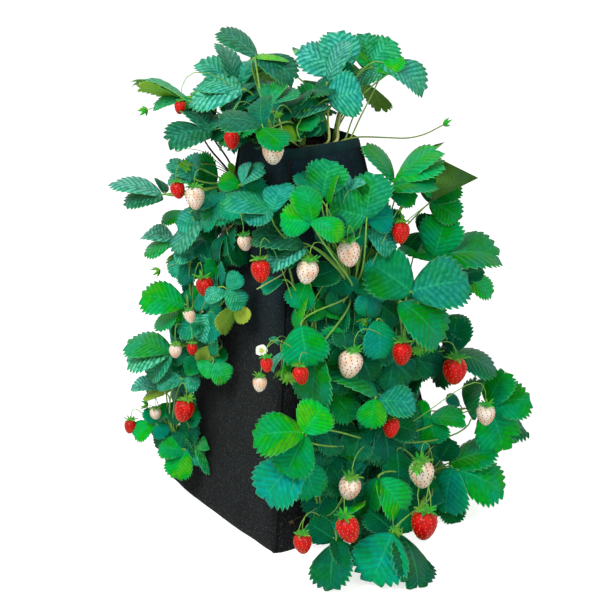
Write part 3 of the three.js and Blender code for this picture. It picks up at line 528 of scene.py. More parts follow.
# Where each slit is: shares across and up its face, seen from outside.
SLITS: dict[str, tuple[float, float]] = {
    "front_upper": (0.5, 0.64), "front_mid_left": (0.2, 0.44), "front_mid_right": (0.8, 0.44),
    "front_centre": (0.5, 0.25), "front_low_left": (0.2, 0.08), "front_low_right": (0.84, 0.09),
    "left_upper": (0.24, 0.88), "left_mid": (0.14, 0.46), "left_low": (0.14, 0.13),
    "back_upper": (0.5, 0.64), "back_mid": (0.24, 0.44), "back_centre": (0.5, 0.25), "back_low": (0.2, 0.08),
}
# Where the crowns in the mouth stand: shares of its half width.
MOUTH: dict[str, tuple[float, float]] = {
    "top_left": (-0.55, 0.4), "top_middle": (-0.05, -0.1), "top_right": (0.55, -0.45),
}
# The line round all that the photograph shows, and round spots where it shows background or bare felt: the middle and
# radius of each. Pixels.
OUTLINE: tuple[tuple[float, float], ...] = (
    (134, 84), (170, 88), (198, 60), (222, 30), (262, 52), (296, 74), (330, 32), (384, 34), (424, 84), (424, 92),
    (372, 104), (352, 142), (366, 144), (392, 158), (440, 146), (460, 180), (460, 216), (498, 250), (492, 296),
    (458, 300), (452, 318), (476, 326), (496, 366), (530, 396), (528, 434), (500, 448), (504, 494), (462, 524),
    (440, 530), (434, 586), (350, 580), (312, 572), (296, 556), (240, 534), (170, 484), (158, 452), (126, 430),
    (126, 344), (140, 290), (166, 284), (142, 250), (142, 226), (168, 208), (126, 206), (110, 184), (160, 172),
    (176, 144), (132, 106),
)
GAPS: tuple[tuple[float, float, float], ...] = (
    (435, 398, 20), (450, 451, 12), (463, 404, 10), (403, 246, 10), (160, 130, 22), (400, 120, 34), (345, 110, 8),
    (390, 148, 10), (420, 130, 16), (196, 148, 10),
)
BARE: tuple[tuple[float, float, float], ...] = (
    (325, 150, 22), (345, 160, 16), (298, 156, 14), (255, 160, 22), (268, 178, 10), (272, 325, 26), (245, 345, 26),
    (235, 400, 34), (262, 410, 26), (235, 450, 40), (222, 500, 40), (262, 520, 36), (284, 505, 16), (333, 348, 12),
    (350, 412, 8), (205, 400, 8), (172, 484, 9),
)


def spots_of(name: str) -> PlantSpots:
    """Gathers what the tables say of one plant.

    Args:
        name: the plant's name.

    Returns:
        Its leaves, those in the photograph first, its berries and its sprigs.
    """
    seen = (LeafSpot(face, tone, painted_sheen, junction, tuple(tips))
            for face, tone, painted_sheen, junction, *tips in LEAVES.get(name, ()))
    hidden = (HiddenLeaf(*row) for row in HIDDEN_LEAVES.get(name, ()))
    return PlantSpots((*seen, *hidden), BERRIES.get(name, ()), SPRIGS.get(name, ()), FILL[name])


def srgb(code: str) -> tuple[float, float, float, float]:
    """Turns an sRGB hex value into a linear colour.

    Args:
        code: the colour as #rrggbb.

    Returns:
        Linear red, green, blue and an alpha of 1.
    """
    parts = [int(code[i:i + 2], 16) / 255 for i in (1, 3, 5)]
    linear = [c / 12.92 if c <= 0.04045 else ((c + 0.055) / 1.055) ** 2.4 for c in parts]
    return (linear[0], linear[1], linear[2], 1.0)


def smooth_step(low: float, high: float, value: float) -> float:
    """Rises smoothly from 0 at low to 1 at high."""
    share = min(1.0, max(0.0, (value - low) / (high - low)))
    return share * share * (3 - 2 * share)


@dataclass(frozen=True)
class BagShape:
    """The felt bag's surface, as the CAD lays it out. Rise runs from 0 at the floor to 1 at the rim."""

    height: float
    base_width: float = 350 * MM
    top_width: float = 135 * MM
    belly: float = 8 * MM
    belly_at_rim: float = 0.25
    rear_draw_in: float = 18 * MM
    draw_in_power: float = 0.45
    soil_below_rim: float = 24 * MM
    felt: float = 3 * MM

    @property
    def lean(self) -> float:
        """How far a wall leans in for each metre up."""
        return (self.base_width - self.top_width) / 2 / self.height

    @property
    def soil_top(self) -> float:
        """Height of the potting mix in the mouth."""
        return self.height - self.soil_below_rim

    def half_width(self, z: float) -> float:
        """Half of the width across two faces at a height."""
        return self.base_width / 2 - self.lean * z

    def corner(self, index: int, rise: float, larger: float = 0.0) -> Vector:
        """A point on a corner of the bag, or of a bag that is larger on every side.

        Args:
            index: 0 front left, 1 front right, 2 back right, 3 back left.
            rise: 0 at the floor to 1 at the rim.
            larger: how much larger on each side.

        Returns:
            The point.
        """
        signs = ((-1, -1), (1, -1), (1, 1), (-1, 1))[index]
        drawn = self.rear_draw_in * math.sin(math.pi * max(rise, 0) ** self.draw_in_power) if index > 1 else 0
        reach = self.half_width(rise * self.height) - drawn + larger
        return Vector((signs[0] * reach, signs[1] * reach, rise * self.height))

    def beyond(self, face: Face, across: float, rise: float, larger: float) -> Vector:
        """A point on a face, which the filling swells, of a bag that is larger on every side.

        Args:
            face: the face.
            across: 0 to 1 across it.
            rise: 0 at the floor to 1 at the rim.
            larger: how much larger on each side.

        Returns:
            The point.
        """
        start, end = (self.corner(corner, rise, larger) for corner in face.corners)
        swell = self.belly * (1 + (self.belly_at_rim - 1) * rise) * 4 * across * (1 - across)
        return start.lerp(end, across) + face.out * swell

    def wall(self, face: Face, across: float, rise: float, out: float = 0.0) -> Vector:
        """A point on a face of the bag, or straight out from it."""
        return self.beyond(face, across, rise, 0.0) + face.out * out


@dataclass(frozen=True)
class PhotoView:
    """The photographed view: where the camera stands, and the line of sight of each pixel."""

    height: float
    turn: float = math.radians(36)
    pitch: float = math.radians(20.6)
    away_share: float = 3.237
    up_share: float = 1.763
    focal_pixels: float = 1281
    frame_pixels: float = 600
    tilt_share: float = 0.0008
    sensor_mm: float = 36

    @property
    def right(self) -> Vector:
        """The frame's rightward direction."""
        return Vector((math.cos(self.turn), -math.sin(self.turn), 0))

    @property
    def level(self) -> Vector:
        """The level direction that the camera looks along."""
        return Vector((math.sin(self.turn), math.cos(self.turn), 0))

    @property
    def sight(self) -> Vector:
        """The direction through the middle of the frame."""
        return self.level * math.cos(self.pitch) + DOWN * math.sin(self.pitch)

    @property
    def eye(self) -> Vector:
        """Where the camera stands."""
        return self.level * -self.away_share * self.height + UP * self.up_share * self.height

    @property
    def upward(self) -> Vector:
        """The frame's upward direction."""
        return self.right.cross(self.sight)

    def ray(self, px: float, py: float) -> Vector:
        """Finds the direction in which a pixel looks.

        Args:
            px: the pixel's column.
            py: its row.

        Returns:
            The direction, unscaled.
        """
        middle = self.frame_pixels / 2
        return (self.sight + self.right * ((px - middle) / self.focal_pixels)
                + self.upward * ((middle - py) / self.focal_pixels))

    def on_face(self, bag: BagShape, face: Face, spot: tuple[float, float, float]) -> Vector:
        """Where a pixel's line of sight meets the plane that stands out beyond a face.

        Args:
            bag: the bag.
            face: the face.
            spot: the pixel, and how far out by the height.

        Returns:
            The point.
        """
        px, py, out_share = spot
        ray, eye = self.ray(px, py), self.eye
        reach = bag.half_width(eye.z) + out_share * self.height - eye.dot(face.out)
        return eye + ray * (reach / (ray.dot(face.out) + bag.lean * ray.z))

    def pixel(self, point: Vector) -> tuple[float, float]:
        """Finds the pixel that shows a point.

        Args:
            point: the point.

        Returns:
            Its column and row.
        """
        offset = point - self.eye
        middle, scale = self.frame_pixels / 2, self.focal_pixels / offset.dot(self.sight)
        return middle + scale * offset.dot(self.right), middle - scale * offset.dot(self.upward)

    def beside(self, origin: Vector, origin_py: float, mark: tuple[float, float], nearer_share: float) -> Vector:
        """Where a pixel shows a spot that is as far from the camera as another, or nearer.

        Args:
            origin: the other spot.
            origin_py: the row of pixels that shows it.
            mark: the pixel.
            nearer_share: how much nearer the spot is, by the height.

        Returns:
            The point.
        """
        nearer = (nearer_share + self.tilt_share * (mark[1] - origin_py)) * self.height
        ray = self.ray(*mark)
        reach = (origin - self.eye).dot(self.level) - nearer
        return self.eye + ray * (reach / ray.dot(self.level))

    def make_camera(self) -> None:
        """Adds the camera and makes it the scene's."""
        data = bpy.data.cameras.new("photo_camera")
        data.sensor_width = self.sensor_mm
        data.lens = self.sensor_mm * self.focal_pixels / self.frame_pixels
        data.clip_start, data.clip_end = 0.05, 50
        bpy.context.scene.camera = aim_object("photo_camera", data, self.eye, self.sight)


def link_object(name: str, data: bpy.types.ID) -> bpy.types.Object:
    """Makes an object and links it to the scene.

    Args:
        name: its name.
        data: its mesh, camera or lamp.

    Returns:
        The object.
    """
    made = bpy.data.objects.new(name, data)
    bpy.context.scene.collection.objects.link(made)
    return made


def aim_object(name: str, data: bpy.types.ID, place: Vector, sight: Vector) -> bpy.types.Object:
    """Adds a camera or a lamp that looks along a direction.

    Args:
        name: its name.
        data: the camera or lamp.
        place: where it is.
        sight: the way that it looks.

    Returns:
        The object.
    """
    made = link_object(name, data)
    made.location = place
    made.rotation_mode = "QUATERNION"
    made.rotation_quaternion = sight.to_track_quat("-Z", "Y")
    return made


def add_node(tree: bpy.types.NodeTree, kind: str, inputs: dict | None = None, output: int | str = 0,
             **settings) -> bpy.types.NodeSocket | None:
    """Adds a node with its settings, values and links.

    Args:
        tree: the node tree.
        kind: the node's type, without its ShaderNode.
        inputs: what goes into its sockets, by name or number: a value, or the socket to link from.
        output: which of its outputs is wanted.
        **settings: the node's own settings.

    Returns:
        The output, or None where the node has none.
    """
    node = tree.nodes.new(f"ShaderNode{kind}")
    for name, value in settings.items():
        setattr(node, name, value)
    for name, value in (inputs or {}).items():
        if isinstance(value, bpy.types.NodeSocket):
            tree.links.new(value, node.inputs[name])
        else:
            node.inputs[name].default_value = value
    return node.outputs[output] if node.outputs else None


@dataclass(frozen=True)
class Finish:
    """A finish that builds one material. Every kind has a tree, a shader and a bump."""

    name: str
    roughness: float = 0.5
    bump_mm: float = 0.0
    specular: float = 0.3

    def start(self) -> tuple[bpy.types.Material, bpy.types.NodeTree, bpy.types.Node, bpy.types.NodeSocket]:
        """Makes the material with its shader.

        Returns:
            The material, its node tree, its Principled shader and its Object coordinates.
        """
        material = bpy.data.materials.new(self.name)
        material.use_nodes = True
        tree = material.node_tree
        tree.nodes.clear()
        surface = add_node(tree, "BsdfPrincipled", {"Roughness": self.roughness, "Specular IOR Level": self.specular})
        add_node(tree, "OutputMaterial", {"Surface": surface})
        return material, tree, surface.node, add_node(tree, "TexCoord", output="Object")

    def finish(self, tree: bpy.types.NodeTree, shader: bpy.types.Node, colour: bpy.types.NodeSocket,
               height: bpy.types.NodeSocket) -> None:
        """Sets the colour, and lifts the surface by bump_mm where height is 1.

        Args:
            tree: the node tree.
            shader: its Principled shader.
            colour: the colour to link to it.
            height: the height to link to its bump.
        """
        tree.links.new(colour, shader.inputs["Base Color"])
        normal = add_node(tree, "Bump", {"Height": height, "Strength": 1.0, "Distance": self.bump_mm * MM})
        tree.links.new(normal, shader.inputs["Normal"])


@dataclass(frozen=True)
class FeltFinish(Finish):
    """Needle-punched polyester felt: matted fibres, matte charcoal with a teal cast higher up, flecked with lint."""

    low: str = "#0e1112"
    high: str = "#0c2a34"
    fleck: str = "#5f696a"
    worn: str = "#050607"
    # Real fibres and lint are finer than a pixel here, so both are drawn this coarse to show.
    fibre_mm: float = 2.2
    lint_mm: float = 3.0
    cast_from: float = 0.3
    cast_to: float = 0.56

    def build(self) -> bpy.types.Material:
        """Builds the material.

        Returns:
            It.
        """
        material, tree, shader, where = self.start()
        z = add_node(tree, "SeparateXYZ", {0: where}, output="Z")
        cloudy = add_node(tree, "TexNoise", {"Vector": where, "Scale": 1 / (28 * MM), "Detail": 3.0})
        stretched = add_node(tree, "Mapping", {"Vector": where, "Scale": (1, 1, 2.2)})
        fibres = add_node(
            tree, "TexNoise", {"Vector": stretched, "Scale": 1 / (self.fibre_mm * MM), "Detail": 5.0, "Roughness": 0.7})
        lint = add_node(
            tree, "TexNoise", {"Vector": where, "Scale": 1 / (self.lint_mm * MM), "Detail": 4.0, "Roughness": 0.75})
        raised = add_node(tree, "Math", {0: cloudy, 1: 0.14, 2: z}, operation="MULTIPLY_ADD")
        cast = add_node(
            tree, "MapRange", {0: raised, 1: self.cast_from, 2: self.cast_to}, interpolation_type="SMOOTHSTEP")
        ground = add_node(tree, "Mix", {0: cast, 6: srgb(self.low), 7: srgb(self.high)}, 2, data_type="RGBA")
        shade = add_node(tree, "MapRange", {0: cloudy, 1: 0.35, 2: 0.7, 3: 0.0, 4: 0.55})
        dark = add_node(tree, "Mix", {0: shade, 6: ground, 7: srgb(self.worn)}, 2, data_type="RGBA")
        flecks = add_node(tree, "MapRange", {0: lint, 1: 0.54, 2: 0.7, 3: 0.0, 4: 0.6})
        thread = add_node(tree, "MapRange", {0: fibres, 1: 0.5, 2: 0.75, 3: 0.0, 4: 0.3})
        both = add_node(tree, "Math", {0: flecks, 1: thread}, operation="MAXIMUM")
        low_only = add_node(tree, "MapRange", {0: cast, 1: 0.0, 2: 1.0, 3: 1.0, 4: 0.35})
        amount = add_node(tree, "Math", {0: both, 1: low_only}, operation="MULTIPLY")
        colour = add_node(tree, "Mix", {0: amount, 6: dark, 7: srgb(self.fleck)}, 2, data_type="RGBA")
        shader.inputs["Sheen Weight"].default_value = 0.06
        shader.inputs["Sheen Roughness"].default_value = 0.5
        self.finish(tree, shader, colour, add_node(tree, "Math", {0: fibres, 1: lint}, operation="ADD"))
        return material


@dataclass(frozen=True)
class LeafFinish(Finish):
    """Strawberry leaf: waxy and quilted between its sunken veins, green to sea-green in broad patches (partly its own
    tone, partly painted sky reflection), with a pale sheen painted between the veins in places, a painted highlight
    along its toothed margin and painted shade in the grooves beside the veins.
    """

    vein: str = "#38cf80"
    vein_share: float = 0.3
    # Painted sheen: the pale sea-green that streaks between the veins stands for the sky's reflection on the raised
    # quilting.
    painted_sheen: str = "#7df0d4"
    # Painted highlight: the paler green along the toothed margin stands for light catching its edge.
    rim: str = "#63dc9c"
    sheen: str = "#2fd488"
    wash: str = "#ffffff"
    wash_share: float = 0.0
    teeth: int = 9
    zone_mm: float = 34
    mottle_mm: float = 7
    net_mm: float = 1.5

    def build(self) -> bpy.types.Material:
        """Builds the material.

        Returns:
            It.
        """
        material, tree, shader, where = self.start()
        green = add_node(tree, "Attribute", output="Color", attribute_name="green")
        painted_sheen = add_node(tree, "Attribute", output="Fac", attribute_name="painted_sheen")
        blade = add_node(tree, "UVMap", output="UV", uv_map="blade")
        along = add_node(tree, "SeparateXYZ", {0: blade}, output="X")
        across = add_node(tree, "SeparateXYZ", {0: blade}, output="Y")
        both_ways = add_node(tree, "Math", {0: across, 1: 2.0, 2: -1.0}, operation="MULTIPLY_ADD")
        side = add_node(tree, "Math", {0: both_ways}, operation="ABSOLUTE")
        zones = add_node(tree, "TexNoise", {"Vector": where, "Scale": 1 / (self.zone_mm * MM), "Detail": 1.0})
        mottle = add_node(tree, "TexNoise", {"Vector": where, "Scale": 1 / (self.mottle_mm * MM), "Detail": 3.0})
        sway = add_node(tree, "Math", {0: mottle, 1: 0.5}, operation="MULTIPLY")
        ribs = add_node(tree, "Math", {0: along, 1: float(self.teeth), 2: sway}, operation="MULTIPLY_ADD")
        wave = add_node(tree, "Math", {0: ribs}, operation="FRACT")
        shifted = add_node(tree, "Math", {0: wave, 1: 0.75}, operation="SUBTRACT")
        off_vein = add_node(tree, "Math", {0: shifted}, operation="ABSOLUTE")
        side_vein = add_node(tree, "MapRange", {0: off_vein, 1: 0.02, 2: 0.09, 3: 0.75, 4: 0.0})
        midrib = add_node(tree, "MapRange", {0: side, 1: 0.01, 2: 0.06, 3: 1.0, 4: 0.0})
        veins = add_node(tree, "Math", {0: side_vein, 1: midrib}, operation="MAXIMUM")
        net = add_node(tree, "TexNoise", {"Vector": where, "Scale": 1 / (self.net_mm * MM), "Detail": 2.0})
        # Broad patches shift the green between yellower and sea-green: partly the leaf's own uneven tone, partly
        # painted sky reflection.
        hue = add_node(tree, "MapRange", {0: zones, 1: 0.36, 2: 0.64, 3: 0.478, 4: 0.54})
        value = add_node(tree, "MapRange", {0: mottle, 1: 0.3, 2: 0.7, 3: 0.82, 4: 1.16})
        shaded = add_node(tree, "HueSaturation", {"Hue": hue, "Saturation": 1.0, "Value": value, "Color": green})
        # Painted shade: a darker green in the grooves beside the sunken veins.
        groove_shade = add_node(tree, "MapRange", {0: off_vein, 1: 0.08, 2: 0.24, 3: 0.3, 4: 0.0})
        groove_shaded = add_node(tree, "Mix", {0: groove_shade, 6: shaded, 7: srgb("#00331d")}, 2, data_type="RGBA")
        vein_part = add_node(tree, "Math", {0: veins, 1: self.vein_share}, operation="MULTIPLY")
        ribbed = add_node(tree, "Mix", {0: vein_part, 6: groove_shaded, 7: srgb(self.vein)}, 2, data_type="RGBA")
        # Painted sheen: pale streaks on the raised quilting between the veins, in patches, as strong as each leaflet's
        # share of painted sheen asks.
        stripes = add_node(tree, "MapRange", {0: off_vein, 1: 0.08, 2: 0.36, 3: 0.12, 4: 0.85})
        patch = add_node(tree, "MapRange", {0: mottle, 1: 0.4, 2: 0.56, 3: 0.25, 4: 1.0})
        sheen_streaks = add_node(tree, "Math", {0: stripes, 1: patch}, operation="MULTIPLY")
        sheen_share = add_node(tree, "Math", {0: sheen_streaks, 1: painted_sheen}, operation="MULTIPLY")
        pale = add_node(tree, "Mix", {0: sheen_share, 6: ribbed, 7: srgb(self.painted_sheen)}, 2, data_type="RGBA")
        # Painted highlight along the toothed margin.
        edge = add_node(tree, "MapRange", {0: side, 1: 0.93, 2: 0.99, 3: 0.0, 4: 0.4})
        margin_highlighted = add_node(tree, "Mix", {0: edge, 6: pale, 7: srgb(self.rim)}, 2, data_type="RGBA")
        colour = add_node(tree, "Mix", {0: self.wash_share, 6: margin_highlighted, 7: srgb(self.wash)}, 2, data_type="RGBA")
        shader.inputs["Specular Tint"].default_value = srgb(self.sheen)
        fine = add_node(tree, "Math", {0: net, 1: 0.4}, operation="MULTIPLY")
        relief = add_node(tree, "Math", {0: fine, 1: veins}, operation="SUBTRACT")
        self.finish(tree, shader, colour, relief)
        return material


@dataclass(frozen=True)
class StemFinish(Finish):
    """Petioles and stalks: juicy, pale green and downy, flushed purple where the sun reaches them."""

    def build(self) -> bpy.types.Material:
        """Builds the material.

        Returns:
            It.
        """
        material, tree, shader, where = self.start()
        green = add_node(tree, "Attribute", output="Color", attribute_name="green")
        mottle = add_node(tree, "TexNoise", {"Vector": where, "Scale": 1 / (5 * MM), "Detail": 3.0})
        value = add_node(tree, "MapRange", {0: mottle, 1: 0.3, 2: 0.7, 3: 0.75, 4: 1.15})
        colour = add_node(tree, "HueSaturation", {"Value": value, "Color": green})
        shader.inputs["Sheen Weight"].default_value = 0.15
        self.finish(tree, shader, colour, add_node(tree, "TexNoise", {"Vector": where, "Scale": 1 / (0.8 * MM)}))
        return material


@dataclass(frozen=True)
class BerryFinish(Finish):
    """Skin of a ripe or white berry: thin, juicy and glossy, paler round its calyx and blushed in patches."""

    skin: str = "#c00106"
    blush: str = "#e2040a"
    shoulder: str = "#e8503a"
    patch_mm: float = 9
    coat: float = 0.14

    def build(self) -> bpy.types.Material:
        """Builds the material.

        Returns:
            It.
        """
        material, tree, shader, where = self.start()
        ripe = add_node(tree, "Attribute", output="Fac", attribute_name="ripe")
        clouds = add_node(tree, "TexNoise", {"Vector": where, "Scale": 1 / (self.patch_mm * MM), "Detail": 2.0})
        patches = add_node(tree, "MapRange", {0: clouds, 1: 0.4, 2: 0.65})
        skin = add_node(tree, "Mix", {0: patches, 6: srgb(self.skin), 7: srgb(self.blush)}, 2, data_type="RGBA")
        top = add_node(tree, "MapRange", {0: ripe, 1: 0.04, 2: 0.2, 3: 1.0, 4: 0.0})
        colour = add_node(tree, "Mix", {0: top, 6: skin, 7: srgb(self.shoulder)}, 2, data_type="RGBA")
        shader.inputs["Coat Weight"].default_value = self.coat
        shader.inputs["Coat Roughness"].default_value = 0.15
        shader.inputs["Subsurface Weight"].default_value = 0.1
        shader.inputs["Subsurface Radius"].default_value = (1.0, 0.35, 0.2)
        shader.inputs["Subsurface Scale"].default_value = 2 * MM
        self.finish(tree, shader, colour, add_node(tree, "TexNoise", {"Vector": where, "Scale": 1 / (1.4 * MM)}))
        return material


@dataclass(frozen=True)
class GrainyFinish(Finish):
    """Two colours mixed in grains: the hard shine of seeds, the velvet of petals, crumbly mix, scales or thread."""

    first: str = "#e6c25a"
    second: str = "#b98a2c"
    grain_mm: float = 1.0

    def build(self) -> bpy.types.Material:
        """Builds the material.

        Returns:
            It.
        """
        material, tree, shader, where = self.start()
        grains = add_node(
            tree, "TexNoise", {"Vector": where, "Scale": 1 / (self.grain_mm * MM), "Detail": 4.0, "Roughness": 0.65})
        share = add_node(tree, "MapRange", {0: grains, 1: 0.38, 2: 0.62})
        colour = add_node(tree, "Mix", {0: share, 6: srgb(self.first), 7: srgb(self.second)}, 2, data_type="RGBA")
        self.finish(tree, shader, colour, grains)
        return material


class Finishes:
    """Every finish of the tower, built once."""

    def __init__(self) -> None:
        """Builds the materials."""
        # Needle-punched polyester felt swallows light: no gloss, matted fibres and pale lint.
        self.felt = FeltFinish("needle_punched_felt", 0.95, 0.8, 0.12).build()
        self.hem_felt = FeltFinish("hem_felt", 0.95, 0.7, 0.12, low="#0c2325", high="#0d3234", fleck="#2c4042").build()
        # Black woven seam tape and thread: a dull dark line.
        self.thread = GrainyFinish("seam_thread", 0.8, 0.2, 0.2, first="#070909", second="#15191b").build()
        # A strawberry leaf's waxed upper side: saturated, softly shining green, and its downy underside: pale and dull.
        self.leaf_top = LeafFinish("leaf_upper_side", 0.45, 0.4, 0.3).build()
        self.leaf_under = LeafFinish(
            "leaf_underside", 0.7, 0.35, 0.1, vein="#d5e58f", vein_share=0.5, wash="#9cc04a", wash_share=0.45).build()
        # Fresh stalk: juicy and pale, with a faint down.
        self.stem = StemFinish("downy_stem", 0.55, 0.25).build()
        # Strawberry skin: wet-looking red, or cream with a pink blush, let through by a little light.
        self.berry = {
            Ripeness.RED: BerryFinish("ripe_berry_skin", 0.3, 0.3, 0.14).build(),
            Ripeness.WHITE: BerryFinish(
                "white_berry_skin", 0.42, 0.3, 0.25, skin="#fdeedd", blush="#f6c9a8", shoulder="#fbf3dd", coat=0.15,
                patch_mm=13).build(),
        }
        # Dry seeds set in the skin: straw on red, brown on white.
        self.seed = {
            Ripeness.RED: GrainyFinish("ripe_seed", 0.35, 0.1, first="#e9a44c", second="#bf5a2a").build(),
            Ripeness.WHITE: GrainyFinish("white_berry_seed", 0.4, 0.1, first="#7d2a22", second="#54150f").build(),
        }
        # White petals like velvet, and a centre dusty with pollen.
        self.petal = GrainyFinish("petal", 0.6, 0.1, first="#ffffff", second="#e9f0dc", grain_mm=6).build()
        self.pollen = GrainyFinish("flower_centre", 0.7, 0.4, first="#e5dc3a", second="#b4cc4a").build()
        # Peat and bark crumbs, moist and dark, and the straw-brown rags of withered flowers.
        self.mix = GrainyFinish(
            "moist_potting_mix", 0.95, 2.2, 0.2, first="#1d130c", second="#4a3524", grain_mm=4).build()
        self.dry = GrainyFinish(
            "withered_flower", 0.85, 0.4, 0.2, first="#8d7c52", second="#54452c", grain_mm=3).build()


def finish_piece(bm: bmesh.types.BMesh, name: str, materials: Sequence[bpy.types.Material], slot: str,
                 *stands_for: str, smooth: bool = True) -> bpy.types.Object:
    """Turns a bmesh into a named piece that rides on the tower.

    Args:
        bm: the mesh in the making, which is freed.
        name: the piece's name.
        materials: its materials, by face index.
        slot: the piece's material slot; not used.
        *stands_for: the CAD nodes that it replaces.
        smooth: whether its faces are shaded smooth.

    Returns:
        The object.
    """
    for face in bm.faces:
        face.smooth = smooth
    mesh = bpy.data.meshes.new(name)
    bm.to_mesh(mesh)
    bm.free()
    for material in materials:
        mesh.materials.append(material)
    piece = link_object(name, mesh)
    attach(piece, BODY)
    if stands_for:
        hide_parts(*stands_for)
    LOG.info("%s: %d faces", name, len(mesh.polygons))
    return piece


def level_way(spot: Vector) -> Vector:
    """The level direction from the tower's axis to a point."""
    return Vector((spot.x, spot.y, 0)).normalized()


def turned_to(way: Vector) -> Matrix:
    """The turn that takes +Z to a direction."""
    return way.to_track_quat("Z", "Y").to_matrix().to_4x4()


def leafy_mesh() -> bmesh.types.BMesh:
    """Starts a mesh with the layers that a leaf's finish reads.

    Returns:
        The mesh, still empty.
    """
    bm = bmesh.new()
    bm.loops.layers.uv.new("blade")
    bm.verts.layers.float_color.new("green")
    bm.verts.layers.float.new("painted_sheen")
    return bm


def add_ball(bm: bmesh.types.BMesh, place: Matrix, radius: float = 1.0, subdivisions: int = 1) -> list:
    """Adds a ball, which its place may flatten, and returns its vertices."""
    return bmesh.ops.create_icosphere(bm, subdivisions=subdivisions, radius=radius, matrix=place)["verts"]


def give_second_material(bm: bmesh.types.BMesh, first: set[bmesh.types.BMFace]) -> None:
    """Gives each face outside a set the second material.

    Args:
        bm: the mesh.
        first: the faces that keep the first.
    """
    for face in bm.faces:
        if face not in first:
            face.material_index = 1


def path_frames(path: Sequence[Vector], radii: Sequence[float]) -> list[Matrix]:
    """Frames along a path, each turned as little as can be from the one before.

    Args:
        path: the points.
        radii: the scale of each frame.

    Returns:
        One matrix for each point, its Z along the path.
    """
    frames = []
    turn = None
    for i, point in enumerate(path):
        ahead = (path[min(i + 1, len(path) - 1)] - path[max(i - 1, 0)]).normalized()
        if turn is None:
            turn = ahead.to_track_quat("Z", "Y")
        else:
            turn = (turn @ UP).rotation_difference(ahead) @ turn
        frames.append(Matrix.Translation(point) @ turn.to_matrix().to_4x4() @ Matrix.Scale(radii[i], 4))
    return frames


def sweep(bm: bmesh.types.BMesh, path: Sequence[Vector], radii: Sequence[float], sides: int = 6) -> list:
    """Sweeps a round section along a path by extruding its ring of edges.

    Args:
        bm: the mesh to add to.
        path: the points that it follows.
        radii: its radius at each point.
        sides: corners of the section.

    Returns:
        The new vertices.
    """
    frames = path_frames(path, radii)
    ring = bmesh.ops.create_circle(bm, cap_ends=True, radius=1, segments=sides, matrix=frames[0])["verts"]
    made = list(ring)
    edges = list({edge for vert in ring for edge in vert.link_edges})
    for before, after in zip(frames, frames[1:]):
        grown = bmesh.ops.extrude_edge_only(bm, edges=edges)["geom"]
        verts = [g for g in grown if isinstance(g, bmesh.types.BMVert)]
        edges = [g for g in grown if isinstance(g, bmesh.types.BMEdge)]
        bmesh.ops.transform(bm, matrix=after @ before.inverted(), verts=verts)
        made += verts
    bmesh.ops.holes_fill(bm, edges=edges, sides=sides)
    return made


def bezier(start: Vector, leave: Vector, arrive: Vector, end: Vector, count: int) -> list[Vector]:
    """Draws a cubic curve.

    Args:
        start: its first point.
        leave: the handle by which it leaves that.
        arrive: the handle by which it arrives.
        end: its last point.
        count: how many steps it takes.

    Returns:
        The points of the curve.
    """
    points = []
    for i in range(count + 1):
        t = i / count
        s = 1 - t
        points.append(start * s ** 3 + leave * 3 * s * s * t + arrive * 3 * s * t * t + end * t ** 3)
    return points


def through(points: Sequence[Vector], steps: int = 5) -> list[Vector]:
    """Draws a smooth line through points.

    Args:
        points: the points to pass.
        steps: how many steps it takes between two of them.

    Returns:
        The points of the line.
    """
    ends = [points[0] * 2 - points[1], *points, points[-1] * 2 - points[-2]]
    line = []
    for before, here, there, after in zip(ends, ends[1:], ends[2:], ends[3:]):
        line += bezier(here, here + (there - before) / 6, there - (after - here) / 6, there, steps)[:-1]
    return [*line, points[-1]]


def is_inside(px: float, py: float, ring: Sequence[tuple[float, float]]) -> bool:
    """Tells whether a pixel lies inside a closed line of pixels.

    Args:
        px: the pixel's column.
        py: its row.
        ring: the corners of the line.

    Returns:
        Whether it does.
    """
    inside = False
    for (ax, ay), (bx, by) in zip(ring, (*ring[1:], ring[0])):
        if (ay > py) != (by > py) and px < ax + (bx - ax) * (py - ay) / (by - ay):
            inside = not inside
    return inside


